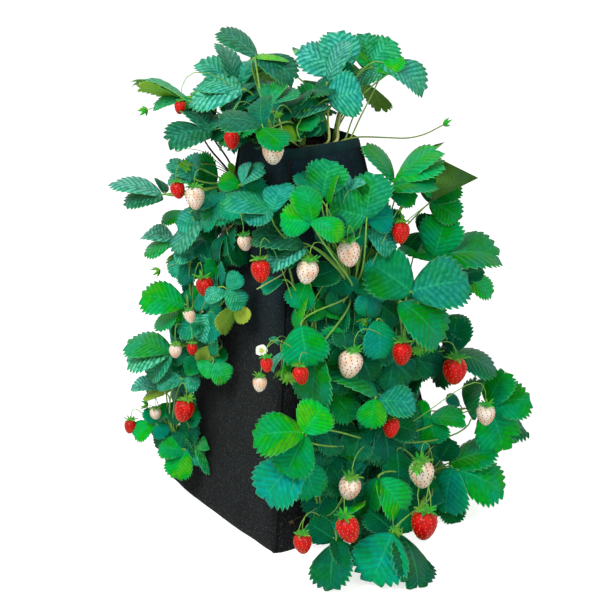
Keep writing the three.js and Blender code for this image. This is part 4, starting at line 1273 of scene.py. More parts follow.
@dataclass(frozen=True)
class LeafletForm:
    """A strawberry leaflet: a wedge-shaped base, a broad round blade, and round teeth where its side veins end."""

    teeth: int = 9
    tooth_rows: int = 4
    columns: int = 4
    wide_share: float = 1.0
    tooth_share: float = 0.072
    toothless_share: float = 0.13
    quilt_share: float = 0.01
    fold_share: float = 0.1
    arch_share: float = 0.08
    droop_share: float = 0.07
    most_twist: float = 0.12
    rib_reach: float = 0.94
    rib_power: float = 1.3
    bulge_lean: float = 0.9
    bulge_power: float = 0.66
    shoulder_share: float = 0.17
    base_share: float = 0.03
    tooth_power: float = 0.75
    tooth_ease: float = 0.15
    tooth_lean: float = 0.4
    thick: float = 0.5 * MM

    def add(self, bm: bmesh.types.BMesh, base: Vector, blade: Blade, colour: Sequence[float], painted_sheen: float,
            dice: random.Random) -> list[bmesh.types.BMVert]:
        """Adds one leaflet as a sheet.

        Args:
            bm: the mesh to add to.
            base: where its stalk ends.
            blade: its place.
            colour: its linear green.
            painted_sheen: how much pale sheen, painted to stand for the sky's reflection, lies on it, 0 to 1.
            dice: the source of its small differences.

        Returns:
            Its vertices.
        """
        rows = self.tooth_rows * self.teeth
        grid = bmesh.ops.create_grid(bm, x_segments=rows, y_segments=2 * self.columns, size=1, calc_uvs=True)["verts"]
        length = (blade.tip - base).length
        along = (blade.tip - base).normalized()
        normal = (blade.normal - along * blade.normal.dot(along)).normalized()
        frame = Matrix((along, normal.cross(along), normal)).transposed()
        fold = self.fold_share * dice.uniform(-0.2, 1.8)
        twist = dice.uniform(-self.most_twist, self.most_twist)
        ripple = dice.uniform(0, math.tau)
        green, pale = bm.verts.layers.float_color["green"], bm.verts.layers.float["painted_sheen"]
        for vert in grid:
            share, side = (vert.co.x + 1) / 2, vert.co.y
            spot = self.shape(round(share * rows) % self.tooth_rows / self.tooth_rows, share, side, blade.wide)
            lift = (fold * abs(side) * blade.wide / 2 * math.sin(math.pi * share)
                    + twist * side * share * blade.wide / 2 + self.arch_share * 4 * spot.x * (1 - spot.x)
                    - self.droop_share * side * side * (0.6 + 0.5 * math.sin(ripple + 5 * share)))
            vert.co = base + frame @ (Vector((spot.x, spot.y, spot.z + lift)) * length)
            vert[green], vert[pale] = colour, painted_sheen
        return grid

    def shape(self, phase: float, share: float, side: float, wide: float) -> Vector:
        """Lays one grid point out on the unit leaflet.

        Args:
            phase: 0 at a notch between two teeth, 0.5 on the side vein that ends in a tooth, 1 at the next notch.
            share: how far along the midrib the point is, 0 to 1.
            side: -1 to 1 across.
            wide: the leaflet's width by its length.

        Returns:
            Along, across and up from the base, by the length.
        """
        out = abs(side)
        rib = Vector((self.rib_reach * share ** self.rib_power, 0))
        bulge = math.sin(math.pi * share ** self.bulge_lean) ** self.bulge_power if 0 < share < 1 else 0
        reach = share + self.shoulder_share * math.sin(math.pi * share) - self.base_share * (1 - share)
        edge = Vector((reach, wide / 2 * bulge))
        tooth = (1 - abs(2 * phase - 1)) ** self.tooth_power
        grown = smooth_step(self.toothless_share, self.toothless_share + self.tooth_ease, share)
        toothed = tooth * self.tooth_share * grown
        if 0 < share < 1:
            edge += (edge - rib).normalized() * toothed + Vector((self.tooth_lean * toothed, 0))
        spot = rib.lerp(edge, out)
        spot.x += self.base_share * math.sin(math.pi * out) * share
        quilt = self.quilt_share * math.cos(math.tau * phase) * math.sin(math.pi * min(1, out * 0.85 + 0.02)) * bulge
        return Vector((spot.x, math.copysign(spot.y, side) if out else 0, quilt))


PLUMPNESS: dict[Ripeness, float] = {Ripeness.RED: 1.03, Ripeness.WHITE: 1.1}
BROAD_FORM = LeafletForm()
SMALL_FORM = LeafletForm(tooth_rows=2, columns=2, tooth_share=0.08, quilt_share=0.015)


@dataclass(frozen=True)
class Blade:
    """One leaflet in its place: its tip, the way its upper side looks, and its width by its length."""

    tip: Vector
    normal: Vector
    wide: float


@dataclass(frozen=True)
class PlacedLeaf:
    """A whole leaf in its place."""

    face: Face
    junction: Vector
    blades: tuple[Blade, ...]
    tone: LeafTone
    painted_sheen: float
    form: LeafletForm


@dataclass
class Plant:
    """One strawberry plant: a crown in the mouth or in a slit, with its leaves, stalks and calyxes."""

    name: str
    spots: PlantSpots
    bag: BagShape
    view: PhotoView
    finishes: Finishes
    box: tuple[Vector, Vector]
    crown_radius: float = 8 * MM
    crown_top: float = 10 * MM
    petiole_radius: float = 1.4 * MM
    stalk_radius: float = 0.75 * MM
    berry_length: float = 46 * MM
    berry_width: float = 39 * MM
    least_lift: float = 3 * MM
    felt_gap: float = 5 * MM
    box_slack: float = 12 * MM
    full_share: float = 1.12
    widest_share: float = 1.45
    fan_turn: float = math.radians(68)
    fan_droop: float = 0.15
    # Painted sheen on the leaves that the tables don't lay out.
    fan_painted_sheen: float = 0.05
    fill_spread: tuple[float, float] = (0.17, 0.09)
    fill_out: tuple[float, float] = (0.03, 0.09)
    fill_away: tuple[float, float] = (0.03, 0.12)
    fill_up: tuple[float, float] = (0.04, 0.16)
    fill_long: tuple[float, float] = (0.052, 0.085)
    fine_radius: float = 0.9 * MM
    stem_steps: int = 12
    floor_give: float = 0.04
    felt_push: float = 0.95
    box_pull: float = 0.85
    berry_share: float = 1.04

    def __post_init__(self) -> None:
        """Finds the crown, and places every leaf."""
        self.dice = random.Random(self.name)
        if self.name in MOUTH:
            reach = self.bag.half_width(self.bag.soil_top) - self.bag.felt
            x, y = (share * reach for share in MOUTH[self.name])
            self.crown = Vector((x, y, self.bag.soil_top))
            self.face, self.out = None, UP.copy()
        else:
            self.face = Face[self.name.split("_")[0].upper()]
            self.crown = self.bag.wall(self.face, *SLITS[self.name])
            self.out = self.face.out
        self.leaves = [self.settle(row) for row in self.spots.leaves] + self.fill_in()

    def settle(self, row: LeafSpot | HiddenLeaf) -> PlacedLeaf:
        """Places one leaf of the table.

        Args:
            row: its row in the table.

        Returns:
            The leaf in its place.
        """
        if isinstance(row, LeafSpot):
            junction = self.view.on_face(self.bag, row.face, row.junction)
            blades = []
            for px, py, seen_wide, nearer in ((*tip, 0.0)[:4] for tip in row.tips):
                tip = self.view.beside(junction, row.junction[1], (px, py), nearer)
                if tip.z < self.least_lift:
                    ray = self.view.ray(px, py)
                    tip += ray * max((self.least_lift - tip.z) / ray.z, -0.1 * self.bag.height)
                blades.append(self.turn_blade(junction, tip, seen_wide))
            return PlacedLeaf(row.face, junction, tuple(blades), row.tone, row.painted_sheen, BROAD_FORM)
        junction = self.bag.beyond(row.face, row.across, row.rise, row.out_share * self.bag.height)
        return self.spread(row.face, junction, junction - self.crown, row.long_share * self.bag.height,
                           (row.face.out + UP).normalized(), FRESH, BROAD_FORM)

    def turn_blade(self, junction: Vector, tip: Vector, seen_wide: float) -> Blade:
        """Turns a leaflet about its midrib until it looks as wide as in the photograph.

        Args:
            junction: its base.
            tip: its tip.
            seen_wide: how wide it is seen, in pixels, or less than 0 where its underside is seen.

        Returns:
            The leaflet in its place, its upper side turned up where there is a choice.
        """
        along = (tip - junction).normalized()
        toward = self.view.eye - junction
        open_way = (toward - along * toward.dot(along)).normalized()
        seen = abs(seen_wide) * self.full_share * toward.length / self.view.focal_pixels / (tip - junction).length
        roll = math.acos(min(1.0, seen / BROAD_FORM.wide_share))
        aside = along.cross(open_way)
        if aside.z < 0:
            aside.negate()
        normal = open_way * math.copysign(math.cos(roll), seen_wide) + aside * math.sin(roll)
        return Blade(tip, normal, min(self.widest_share, max(BROAD_FORM.wide_share, seen)))

    def spread(self, face: Face | None, junction: Vector, ahead: Vector, length: float, facing: Vector,
               tone: LeafTone, form: LeafletForm) -> PlacedLeaf:
        """Places a leaf of three leaflets that the photograph doesn't lay out.

        Args:
            face: the face that it stands before.
            junction: where its leaflets meet.
            ahead: the way that its middle one points, before it is turned into the leaf's plane.
            length: the length of each.
            facing: the way that it looks.
            tone: its green.
            form: its leaflets' form.

        Returns:
            The leaf in its place.
        """
        ahead = (ahead - facing * ahead.dot(facing)).normalized()
        blades = []
        for turn in (-self.fan_turn, 0, self.fan_turn):
            tip = junction + Quaternion(facing, turn) @ ahead * length - facing * abs(turn) * self.fan_droop * length
            blades.append(Blade(tip, facing, form.wide_share))
        return PlacedLeaf(face or row_face(junction), junction, tuple(blades), tone, self.fan_painted_sheen, form)

    def fill_in(self) -> list[PlacedLeaf]:
        """Places small leaves between the others, where the photograph shows neither bare felt nor background.

        Returns:
            The leaves.
        """
        leaves: list[PlacedLeaf] = []
        kept_clear = GAPS if self.face in (BACK, RIGHT) else GAPS + BARE
        for _ in range(40 * self.spots.fill):
            if len(leaves) == self.spots.fill:
                break
            if self.face:
                across, rise = SLITS[self.name]
                across += self.dice.gauss(0, self.fill_spread[0])
                rise += self.dice.gauss(0, self.fill_spread[1])
                if not (0.03 < across < 0.97 and 0.03 < rise < 0.95):
                    continue
                spot = self.bag.wall(self.face, across, rise, self.dice.uniform(*self.fill_out) * self.bag.height)
                facing = self.out + UP * self.dice.uniform(0.1, 1.0)
            else:
                turn = self.dice.uniform(0, math.tau)
                level = Vector((math.cos(turn), math.sin(turn), 0))
                spot = self.crown + level * (self.dice.uniform(*self.fill_away) * self.bag.height)
                spot.z += self.dice.uniform(*self.fill_up) * self.bag.height
                facing = UP + level * 0.6
            facing += Vector([self.dice.uniform(-0.4, 0.4) for _ in range(3)])
            # Mostly deep green: painted shade for the small leaves that sit low among the others, near the felt.
            tone = self.dice.choice((DEEP, DEEP, DEEP, TEAL, FRESH))
            length = self.dice.uniform(*self.fill_long) * self.bag.height
            ahead = spot - self.crown + DOWN * 20 * MM
            placed = self.spread(self.face, spot, ahead, length, facing.normalized(), tone, SMALL_FORM)
            marks = [self.view.pixel(point) for point in (spot, *(blade.tip for blade in placed.blades))]
            if all(is_inside(*mark, OUTLINE) and all(math.dist(mark, gap[:2]) > gap[2] for gap in kept_clear)
                   for mark in marks):
                leaves.append(placed)
        return leaves

    def keep_clear(self, spot: Vector, face: Face) -> Vector:
        """Moves a point of a leaf out of the floor and the bag, and back to the part's own box.

        Args:
            spot: the point.
            face: the face that its leaf stands before.

        Returns:
            The point in the clear.
        """
        spot = spot.copy()
        if spot.z < self.least_lift:
            spot.z = self.least_lift + (spot.z - self.least_lift) * self.floor_give
        wall = self.bag.half_width(spot.z) + self.felt_gap
        if spot.z < self.bag.height and abs(spot.x) < wall and abs(spot.y) < wall:
            spot += face.out * (wall - spot.dot(face.out)) * self.felt_push
        low, high = self.box
        for axis in range(3):
            over = spot[axis] - high[axis] - self.box_slack
            under = low[axis] - self.box_slack - spot[axis]
            spot[axis] -= self.box_pull * (max(0.0, over) - (max(0.0, under) if axis < 2 else 0.0))
        return spot

    def berry_top(self, row: BerrySpot) -> Vector:
        """The top of a berry, under its calyx."""
        return self.view.on_face(self.bag, row.face, row.middle) + UP * self.berry_length * row.size / 2

    def sprout(self, to: Vector, into: Vector, arrive: float, radius: float) -> list[Vector]:
        """The path of a stem from its own side of the crown.

        Args:
            to: where it ends.
            into: the direction in which it arrives.
            arrive: its far handle by its reach.
            radius: its radius.

        Returns:
            The points of the path.
        """
        start = self.crown + self.out * (self.crown_top - 2 * self.petiole_radius)
        aside = to - start
        aside -= self.out * aside.dot(self.out)
        start = start + aside.normalized() * (self.crown_radius - 2 * radius)
        far = (to - start).length
        away = max(0.0, (to - start).dot(self.out))
        leave = start + self.out * min(far * 0.5, 12 * MM + away)
        return bezier(start, leave, to - into * far * arrive, to, self.stem_steps)

    def build_leaves(self) -> None:
        """Builds the leaves as sheets with an upper side and an underside."""
        bm = leafy_mesh()
        side = bm.verts.layers.int.new("side")
        faces = list(Face)
        for placed in self.leaves:
            tone = Vector(srgb(placed.tone.value))
            for number, blade in enumerate(placed.blades):
                lit = self.dice.uniform(0.74, 1.22)
                colour = (tone.x * lit * self.dice.uniform(0.7, 1.4), tone.y * lit,
                          tone.z * lit * self.dice.uniform(0.8, 1.2), 1)
                base = placed.junction + blade.normal * (number - 1) * 1.2 * MM
                verts = placed.form.add(bm, base, blade, colour, placed.painted_sheen * self.dice.uniform(0.6, 1.1), self.dice)
                for vert in verts:
                    vert[side] = faces.index(placed.face)
        bmesh.ops.remove_doubles(bm, verts=bm.verts, dist=0.01 * MM)
        bm.normal_update()
        tops = list(bm.faces)
        bmesh.ops.solidify(bm, geom=tops, thickness=BROAD_FORM.thick)
        give_second_material(bm, set(tops))
        for vert in bm.verts:
            vert.co = self.keep_clear(vert.co, faces[vert[side]])
        finish_piece(bm, f"leaves_{self.name}", (self.finishes.leaf_top, self.finishes.leaf_under), "foliage",
                     f"plant_{self.name}")

    def stem_paths(self) -> list[tuple[list[Vector], float, str | None]]:
        """The path, radius and colour of each petiole, stalk and sprig.

        Returns:
            One row for each, without a colour where it is plain green.
        """
        paths: list[tuple[list[Vector], float, str | None]] = []
        for placed in self.leaves:
            ahead = (placed.blades[len(placed.blades) // 2].tip - placed.junction).normalized()
            round_corner = self.out != UP and placed.face.out != self.out
            into, arrive = (-placed.face.out, 0.45) if round_corner else (ahead, 0.2)
            plain = placed.form is BROAD_FORM
            radius, code = (self.petiole_radius, None) if plain else (self.fine_radius, StemTone.FINE.value)
            paths.append((self.sprout(placed.junction, into, arrive, radius), radius, code))
        for row in self.spots.berries:
            nod = self.berry_top(row) + UP * self.stalk_radius
            paths.append((self.sprout(nod, DOWN, 0.6, self.stalk_radius), self.stalk_radius, None))
        for sprig in self.spots.sprigs:
            paths.append((self.sprig_path(sprig), sprig.radius_mm * MM, sprig.code))
        return paths

    def sprig_path(self, sprig: Sprig) -> list[Vector]:
        """The path of a sprig from the crown through its points."""
        points = [self.view.on_face(self.bag, sprig.face, point) for point in sprig.points]
        return through([self.crown + self.out * self.crown_top * 0.6, *points])

    def build_stems(self) -> None:
        """Builds the crown, the petioles, the fruit stalks and the bare sprigs."""
        bm = bmesh.new()
        green = bm.verts.layers.float_color.new("green")
        fresh, flushed = (Vector(srgb(tone.value)) for tone in (StemTone.FRESH, StemTone.FLUSHED))
        for path, radius, code in self.stem_paths():
            count = len(path)
            radii = [radius * (1.25 - 0.45 * i / count) for i in range(count)]
            blush = self.dice.uniform(-0.5, 0.25)
            for i, vert in enumerate(sweep(bm, path, radii)):
                share = i / (6 * count)
                colour = Vector(srgb(code)) if code else fresh.lerp(flushed, min(1, max(0, blush + 0.5 - share)))
                vert[green] = (colour.x, colour.y, colour.z, 1)
        stub = bmesh.ops.create_cone(
            bm, cap_ends=True, segments=10, radius1=self.crown_radius * 0.7, radius2=self.crown_radius,
            depth=2.4 * self.crown_top, matrix=Matrix.Translation(self.crown) @ turned_to(self.out))["verts"]
        for vert in stub:
            vert[green] = srgb(StemTone.CROWN.value)
        bmesh.ops.recalc_face_normals(bm, faces=bm.faces)
        finish_piece(bm, f"stems_{self.name}", (self.finishes.stem,), "foliage")

    def build_calyxes(self) -> None:
        """Builds the green calyx on each berry, and what the sprigs bear."""
        bm = leafy_mesh()
        for row in self.spots.berries:
            Calyx(self.berry_width * row.size, self.dice).add(bm, self.berry_top(row) + UP * 0.6 * MM, UP)
        withered = []
        for sprig in self.spots.sprigs:
            path = self.sprig_path(sprig)
            ahead = (path[-1] - path[-3]).normalized()
            if sprig.bears is BUD:
                Calyx(17 * MM, self.dice, sepals=7, droop=-0.9, wide_share=0.3).add(bm, path[-1], ahead)
                for vert in add_ball(bm, Matrix.Translation(path[-1] + ahead * 3 * MM), 3.4 * MM, 2):
                    vert[bm.verts.layers.float_color["green"]] = srgb(StemTone.BUD.value)
            elif sprig.bears is CALYX:
                Calyx(24 * MM, self.dice, sepals=11, droop=0.05, wide_share=0.18).add(bm, path[-1], -self.view.level)
            elif sprig.bears is DRY:
                withered.append(path[-1])
        if not bm.faces and not withered:
            bm.free()
            return
        if bm.faces:
            bm.normal_update()
            bmesh.ops.solidify(bm, geom=list(bm.faces), thickness=0.4 * MM)
        green_faces = set(bm.faces)
        for spot in withered:
            for _ in range(14):
                place = spot + Vector([self.dice.gauss(0, 2.2 * MM) for _ in range(3)])
                turn = Quaternion([self.dice.gauss(0, 1) for _ in range(4)]).normalized().to_matrix().to_4x4()
                add_ball(bm, Matrix.Translation(place) @ turn @ Matrix.Diagonal((1, 0.4, 0.16, 1)), 2.4 * MM)
        give_second_material(bm, green_faces)
        finish_piece(bm, f"calyxes_{self.name}", (self.finishes.leaf_top, self.finishes.dry), "foliage")

    def build(self) -> None:
        """Builds the whole plant and its berries."""
        self.build_leaves()
        self.build_stems()
        self.build_calyxes()
        for number, row in enumerate(self.spots.berries, 1):
            node = f"berry_{row.ripeness.value}_{self.name}_{number}"
            Berry(self.berry_length * row.size * self.berry_share,
                  self.berry_width * row.size * PLUMPNESS[row.ripeness], row.ripeness, self.finishes,
                  self.dice).build(self.berry_top(row), node)


def row_face(spot: Vector) -> Face:
    """The face that a spot above the mouth leans over."""
    return max(Face, key=lambda face: face.out.dot(spot))


@dataclass
class Calyx:
    """A ring of pointed sepals: over a berry, closed round a bud, or spread where a berry was picked."""

    width: float
    dice: random.Random
    sepals: int = 10
    reach_share: float = 0.5
    wide_share: float = 0.15
    droop: float = 0.25

    def add(self, bm: bmesh.types.BMesh, top: Vector, out: Vector) -> None:
        """Adds the calyx.

        Args:
            bm: the mesh to add to.
            top: its middle.
            out: the way that its stalk comes from.
        """
        green, pale = bm.verts.layers.float_color["green"], bm.verts.layers.float["painted_sheen"]
        tone = Vector(srgb(StemTone.SEPAL.value))
        frame = out.to_track_quat("Z", "Y").to_matrix()
        for i in range(self.sepals):
            angle = math.tau * (i + self.dice.uniform(-0.25, 0.25)) / self.sepals
            reach = self.width * self.reach_share * self.dice.uniform(0.75, 1.2)
            curl = self.dice.uniform(0.1, 1.3)
            lit = self.dice.uniform(0.7, 1.35)
            turn = frame @ Matrix.Rotation(angle, 3, "Z")
            grid = bmesh.ops.create_grid(bm, x_segments=5, y_segments=2, size=1, calc_uvs=True)["verts"]
            for vert in grid:
                share, side = (vert.co.x + 1) / 2, vert.co.y
                wide = self.width * self.wide_share * math.sin(math.pi * (0.15 + 0.85 * share)) ** 0.8
                drop = -self.droop * share * share + curl * max(0, share - 0.5)
                local = Vector((reach * share, wide * side / 2 * (share < 1), reach * (drop + 0.1 * abs(side))))
                vert.co = top + turn @ local
                vert[green] = (tone.x * lit, tone.y * lit, tone.z * lit, 1)
                vert[pale] = 0.0


@dataclass
class Berry:
    """A strawberry: a blunt cone with seeds set in dimples."""

    length: float
    width: float
    ripeness: Ripeness
    finishes: Finishes
    dice: random.Random
    rings: int = 9
    seed_share: float = 0.037
    dimple_share: float = 0.02
    blunt: float = 0.82
    taper: float = 0.29
    first_ring: float = 0.12
    ring_reach: float = 0.84
    spacing_share: float = 0.23
    turn_step: float = 0.05
    lean: float = 0.12

    def surface(self, polar: float, angle: float) -> Vector:
        """A point on the berry below its top.

        Args:
            polar: 0 at the top to pi at the tip.
            angle: round the berry.

        Returns:
            The point, the top's middle being the origin.
        """
        radius = self.width / 2 * math.sin(polar) ** self.blunt * (1 + self.taper * math.cos(polar)) / 1.05
        z = self.length * ((math.cos(polar) - 1) / 2 + 0.05 * math.exp(-polar * 3) - 0.05)
        return Vector((radius * math.cos(angle), radius * math.sin(angle), z))

    def seed_spots(self) -> list[tuple[Vector, Vector]]:
        """The seeds in staggered rings.

        Returns:
            The place of each, and the way that it points out.
        """
        spots = []
        for ring in range(1, self.rings + 1):
            polar = math.pi * (self.first_ring + self.ring_reach * ring / (self.rings + 1))
            girth = math.tau * math.sin(polar) ** self.blunt * self.width / 2
            count = max(3, round(girth / (self.width * self.spacing_share)))
            for k in range(count):
                angle = math.tau * (k + 0.5 * (ring % 2)) / count + self.dice.uniform(-self.turn_step, self.turn_step)
                spot = self.surface(polar, angle)
                out = (self.surface(polar - self.turn_step, angle) - self.surface(polar + self.turn_step, angle)).cross(
                    self.surface(polar, angle + self.turn_step) - self.surface(polar, angle - self.turn_step))
                out = -out.normalized()
                if out.dot(Vector((spot.x, spot.y, 0))) < 0:
                    out = -out
                spots.append((spot, out))
        return spots

    def build(self, top: Vector, node: str) -> None:
        """Builds the berry with its seeds.

        Args:
            top: the middle of its top.
            node: the CAD node that it replaces.
        """
        bm = bmesh.new()
        ripe = bm.verts.layers.float.new("ripe")
        seeds = self.seed_spots()
        body = bmesh.ops.create_uvsphere(bm, u_segments=28, v_segments=20, radius=1)["verts"]
        for vert in body:
            polar = math.acos(max(-1.0, min(1.0, vert.co.z)))
            angle = math.atan2(vert.co.y, vert.co.x)
            spot = self.surface(polar, angle)
            near = min((spot - seed).length for seed, _ in seeds) / (self.width * 0.06)
            vert.co = spot - level_way(spot) * self.width * self.dimple_share * math.exp(-near * near)
            vert[ripe] = polar / math.pi
        skin_faces = set(bm.faces)
        size = self.width * self.seed_share
        for spot, out in seeds:
            shape = Matrix.Diagonal((size * 0.55, size, size * 0.5, 1))
            add_ball(bm, Matrix.Translation(spot - out * size * 0.15) @ turned_to(out) @ shape)
        give_second_material(bm, skin_faces)
        turn_x, turn_y = (Matrix.Rotation(self.dice.gauss(0, self.lean), 4, axis) for axis in "XY")
        bmesh.ops.transform(bm, matrix=Matrix.Translation(top) @ turn_x @ turn_y, verts=bm.verts)
        bmesh.ops.recalc_face_normals(bm, faces=bm.faces)
        finish_piece(bm, f"detailed_{node}", (self.finishes.berry[self.ripeness], self.finishes.seed[self.ripeness]),
                     f"berry_{self.ripeness.value}", node)


@dataclass
class FeltBag:
    """The felt bag: one shell with slits, a folded hem, a raised seam down each corner and the mix in its mouth."""

    shape: BagShape
    finishes: Finishes
    columns: int = 24
    slit_half: float = 24 * MM
    slit_open: float = 9 * MM
    hem_height: float = 15 * MM
    wrinkle: float = 4 * MM
    corner_round: float = 5 * MM
    corner_reach: float = 10 * MM
    foot_round: float = 14 * MM
    foot_tuck: float = 5 * MM
    crumbs: int = 160

    def rises(self) -> list[float]:
        """Spaces the rings, with one at each slit.

        Returns:
            Their heights by the bag's height.
        """
        marks = {round(rise, 4) for _, rise in SLITS.values()}
        even = [i / 44 for i in range(45)]
        kept = [rise for rise in even if all(abs(rise - mark) > 0.009 for mark in marks)]
        return sorted({*kept, *marks, 0.008, 1.0})

    def ring_spot(self, k: int, rise: float, out: float = 0.0) -> Vector:
        """One point of a ring round the bag.

        Args:
            k: its number, counted from the front left corner.
            rise: the ring's height by the bag's.
            out: how far it stands out.

        Returns:
            The point.
        """
        face = list(Face)[k // self.columns]
        across = (k % self.columns) / self.columns
        spot = self.shape.wall(face, across, rise, out)
        width = 2 * self.shape.half_width(spot.z)
        edge = min(across, 1 - across) * width
        tight = math.exp(-((edge / self.corner_reach) ** 2))
        spot -= level_way(spot) * self.corner_round * tight
        low = max(0.0, 1 - spot.z / self.foot_round)
        spot -= face.out * self.foot_tuck * low * low
        folds = noise.noise(Vector((spot.x * 14, spot.y * 14, spot.z * 5)))
        small = noise.noise(Vector((spot.x * 40, spot.y * 40, spot.z * 26)))
        amount = self.wrinkle * (0.35 + 0.65 * (1 - rise)) * (1 - tight) * min(1.0, 8 * (1 - rise))
        return spot + face.out * amount * (0.7 * folds + 0.3 * small)

    def grow_rings(self, bm: bmesh.types.BMesh, profile: Sequence[tuple[float, float]], capped: bool) -> list[list]:
        """Extrudes ring upon ring round the bag.

        Args:
            bm: the mesh to add to.
            profile: how high and how far out each ring is.
            capped: whether the first is filled.

        Returns:
            The vertices of each ring.
        """
        ring = bmesh.ops.create_circle(bm, cap_ends=capped, radius=1, segments=4 * self.columns)["verts"]
        rows = [sorted(ring, key=lambda vert: math.atan2(vert.co.y, vert.co.x))]
        edges = list(bm.edges)
        for number, (rise, out) in enumerate(profile):
            if number:
                grown = bmesh.ops.extrude_edge_only(bm, edges=edges)["geom"]
                edges = [g for g in grown if isinstance(g, bmesh.types.BMEdge)]
                fresh = {g for g in grown if isinstance(g, bmesh.types.BMVert)}
                rows.append([next(e.other_vert(v) for e in v.link_edges if e.other_vert(v) in fresh)
                             for v in rows[-1]])
            for k, vert in enumerate(rows[-1]):
                vert.co = self.ring_spot(k, rise, out)
        bmesh.ops.recalc_face_normals(bm, faces=bm.faces)
        return rows

    def build_shell(self) -> None:
        """Builds the walls and base as one shell of felt, split at the slits."""
        bm = bmesh.new()
        rises = self.rises()
        rows = self.grow_rings(bm, [(rise, 0.0) for rise in rises], True)
        self.open_slits(bm, rows, rises)
        bmesh.ops.solidify(bm, geom=list(bm.faces), thickness=self.shape.felt)
        finish_piece(bm, "felt_bag", (self.finishes.felt,), "felt_dark", "felt_panel_front", "felt_panel_right",
                     "felt_panel_back", "felt_panel_left", "base_panel")

    def open_slits(self, bm: bmesh.types.BMesh, rows: list, rises: list[float]) -> None:
        """Splits the shell along each slit and pulls its lips apart.

        Args:
            bm: the shell.
            rows: its rings of vertices.
            rises: their heights.
        """
        for name, (across, rise) in SLITS.items():
            face = Face[name.split("_")[0].upper()]
            row = rows[min(range(len(rises)), key=lambda i: abs(rises[i] - rise))]
            width = 2 * self.shape.half_width(rise * self.shape.height)
            first = list(Face).index(face) * self.columns
            spots = {}
            for k in range(self.columns + 1):
                offset = (k / self.columns - across) * width
                if abs(offset) <= self.slit_half:
                    spots[row[(first + k) % len(row)]] = offset
            cut = [e for v in spots for e in v.link_edges if e.other_vert(v) in spots]
            places = {tuple(v.co): offset for v, offset in spots.items()}
            middle_z = next(iter(spots)).co.z
            halves = bmesh.ops.split_edges(bm, edges=list(set(cut)))["edges"]
            lips = {v for e in halves for v in e.verts} | set(spots)
            for vert in lips:
                offset = places.get(tuple(vert.co))
                if offset is None or not vert.link_faces:
                    continue
                heights = [f.calc_center_median().z for f in vert.link_faces]
                above = sum(heights) / len(heights) > middle_z
                if min(heights) < middle_z < max(heights):
                    continue
                lens = 1 - (offset / self.slit_half) ** 2
                vert.co.z += self.slit_open * lens * (0.6 if above else -1)
                vert.co += face.out * 3 * MM * lens * (0.4 if above else 1)

    def build_hem(self) -> None:
        """Builds the folded hem round the rim."""
        bm = bmesh.new()
        low = 1 - self.hem_height / self.shape.height
        top_out, in_out = 1.4 * MM, -self.shape.felt - 1.4 * MM
        self.grow_rings(bm, [
            (low, 0.6 * MM), (low + 0.004, top_out), (0.993, top_out), (0.9985, 0.2 * MM), (1.0, -1.5 * MM),
            (0.9985, in_out + 1.3 * MM), (0.993, in_out), (low, in_out), (low - 0.03, in_out + 1.5 * MM)], False)
        finish_piece(bm, "rim_fold", (self.finishes.hem_felt,), "felt_teal", "rim_hem")

    def build_seams(self) -> None:
        """Builds the raised seam down each corner."""
        for index, name in enumerate(CORNERS):
            bm = bmesh.new()
            path = []
            for i in range(41):
                rise = 0.012 + (0.975 - 0.012) * i / 40
                spot = self.ring_spot(index * self.columns, rise)
                path.append(spot + level_way(spot) * 0.6 * MM)
            sweep(bm, path, [2.2 * MM] * len(path), 8)
            bmesh.ops.recalc_face_normals(bm, faces=bm.faces)
            finish_piece(bm, f"corner_seam_{name}", (self.finishes.thread,), "tape")

    def build_mix(self) -> None:
        """Builds the lumpy top of the potting mix in the mouth."""
        bm = bmesh.new()
        half = self.shape.half_width(self.shape.soil_top) - self.shape.felt - 1 * MM
        grid = bmesh.ops.create_grid(bm, x_segments=36, y_segments=36, size=half)["verts"]
        for vert in grid:
            lump = noise.noise(vert.co * 90) * 2.2 + noise.noise(vert.co * 260) * 1.1
            vert.co.z = self.shape.soil_top + lump * MM
        extra = random.Random("crumbs")
        for _ in range(self.crumbs):
            spot = Vector((extra.uniform(-1, 1) * half * 0.95, extra.uniform(-1, 1) * half * 0.95, 0))
            spot.z = self.shape.soil_top + extra.uniform(0, 2) * MM
            size = extra.uniform(0.8, 3.0) * MM
            turn = Quaternion((extra.random(), extra.random(), extra.random()), extra.uniform(0, 6)).to_matrix()
            add_ball(bm, Matrix.Translation(spot) @ turn.to_4x4() @ Matrix.Diagonal((1.3, 0.8, 0.6, 1)), size)
        bm.normal_update()
        finish_piece(bm, "mix_surface", (self.finishes.mix,), "mix", smooth=False)

    def build(self) -> None:
        """Builds the bag."""
        self.build_shell()
        self.build_hem()
        self.build_seams()
        self.build_mix()


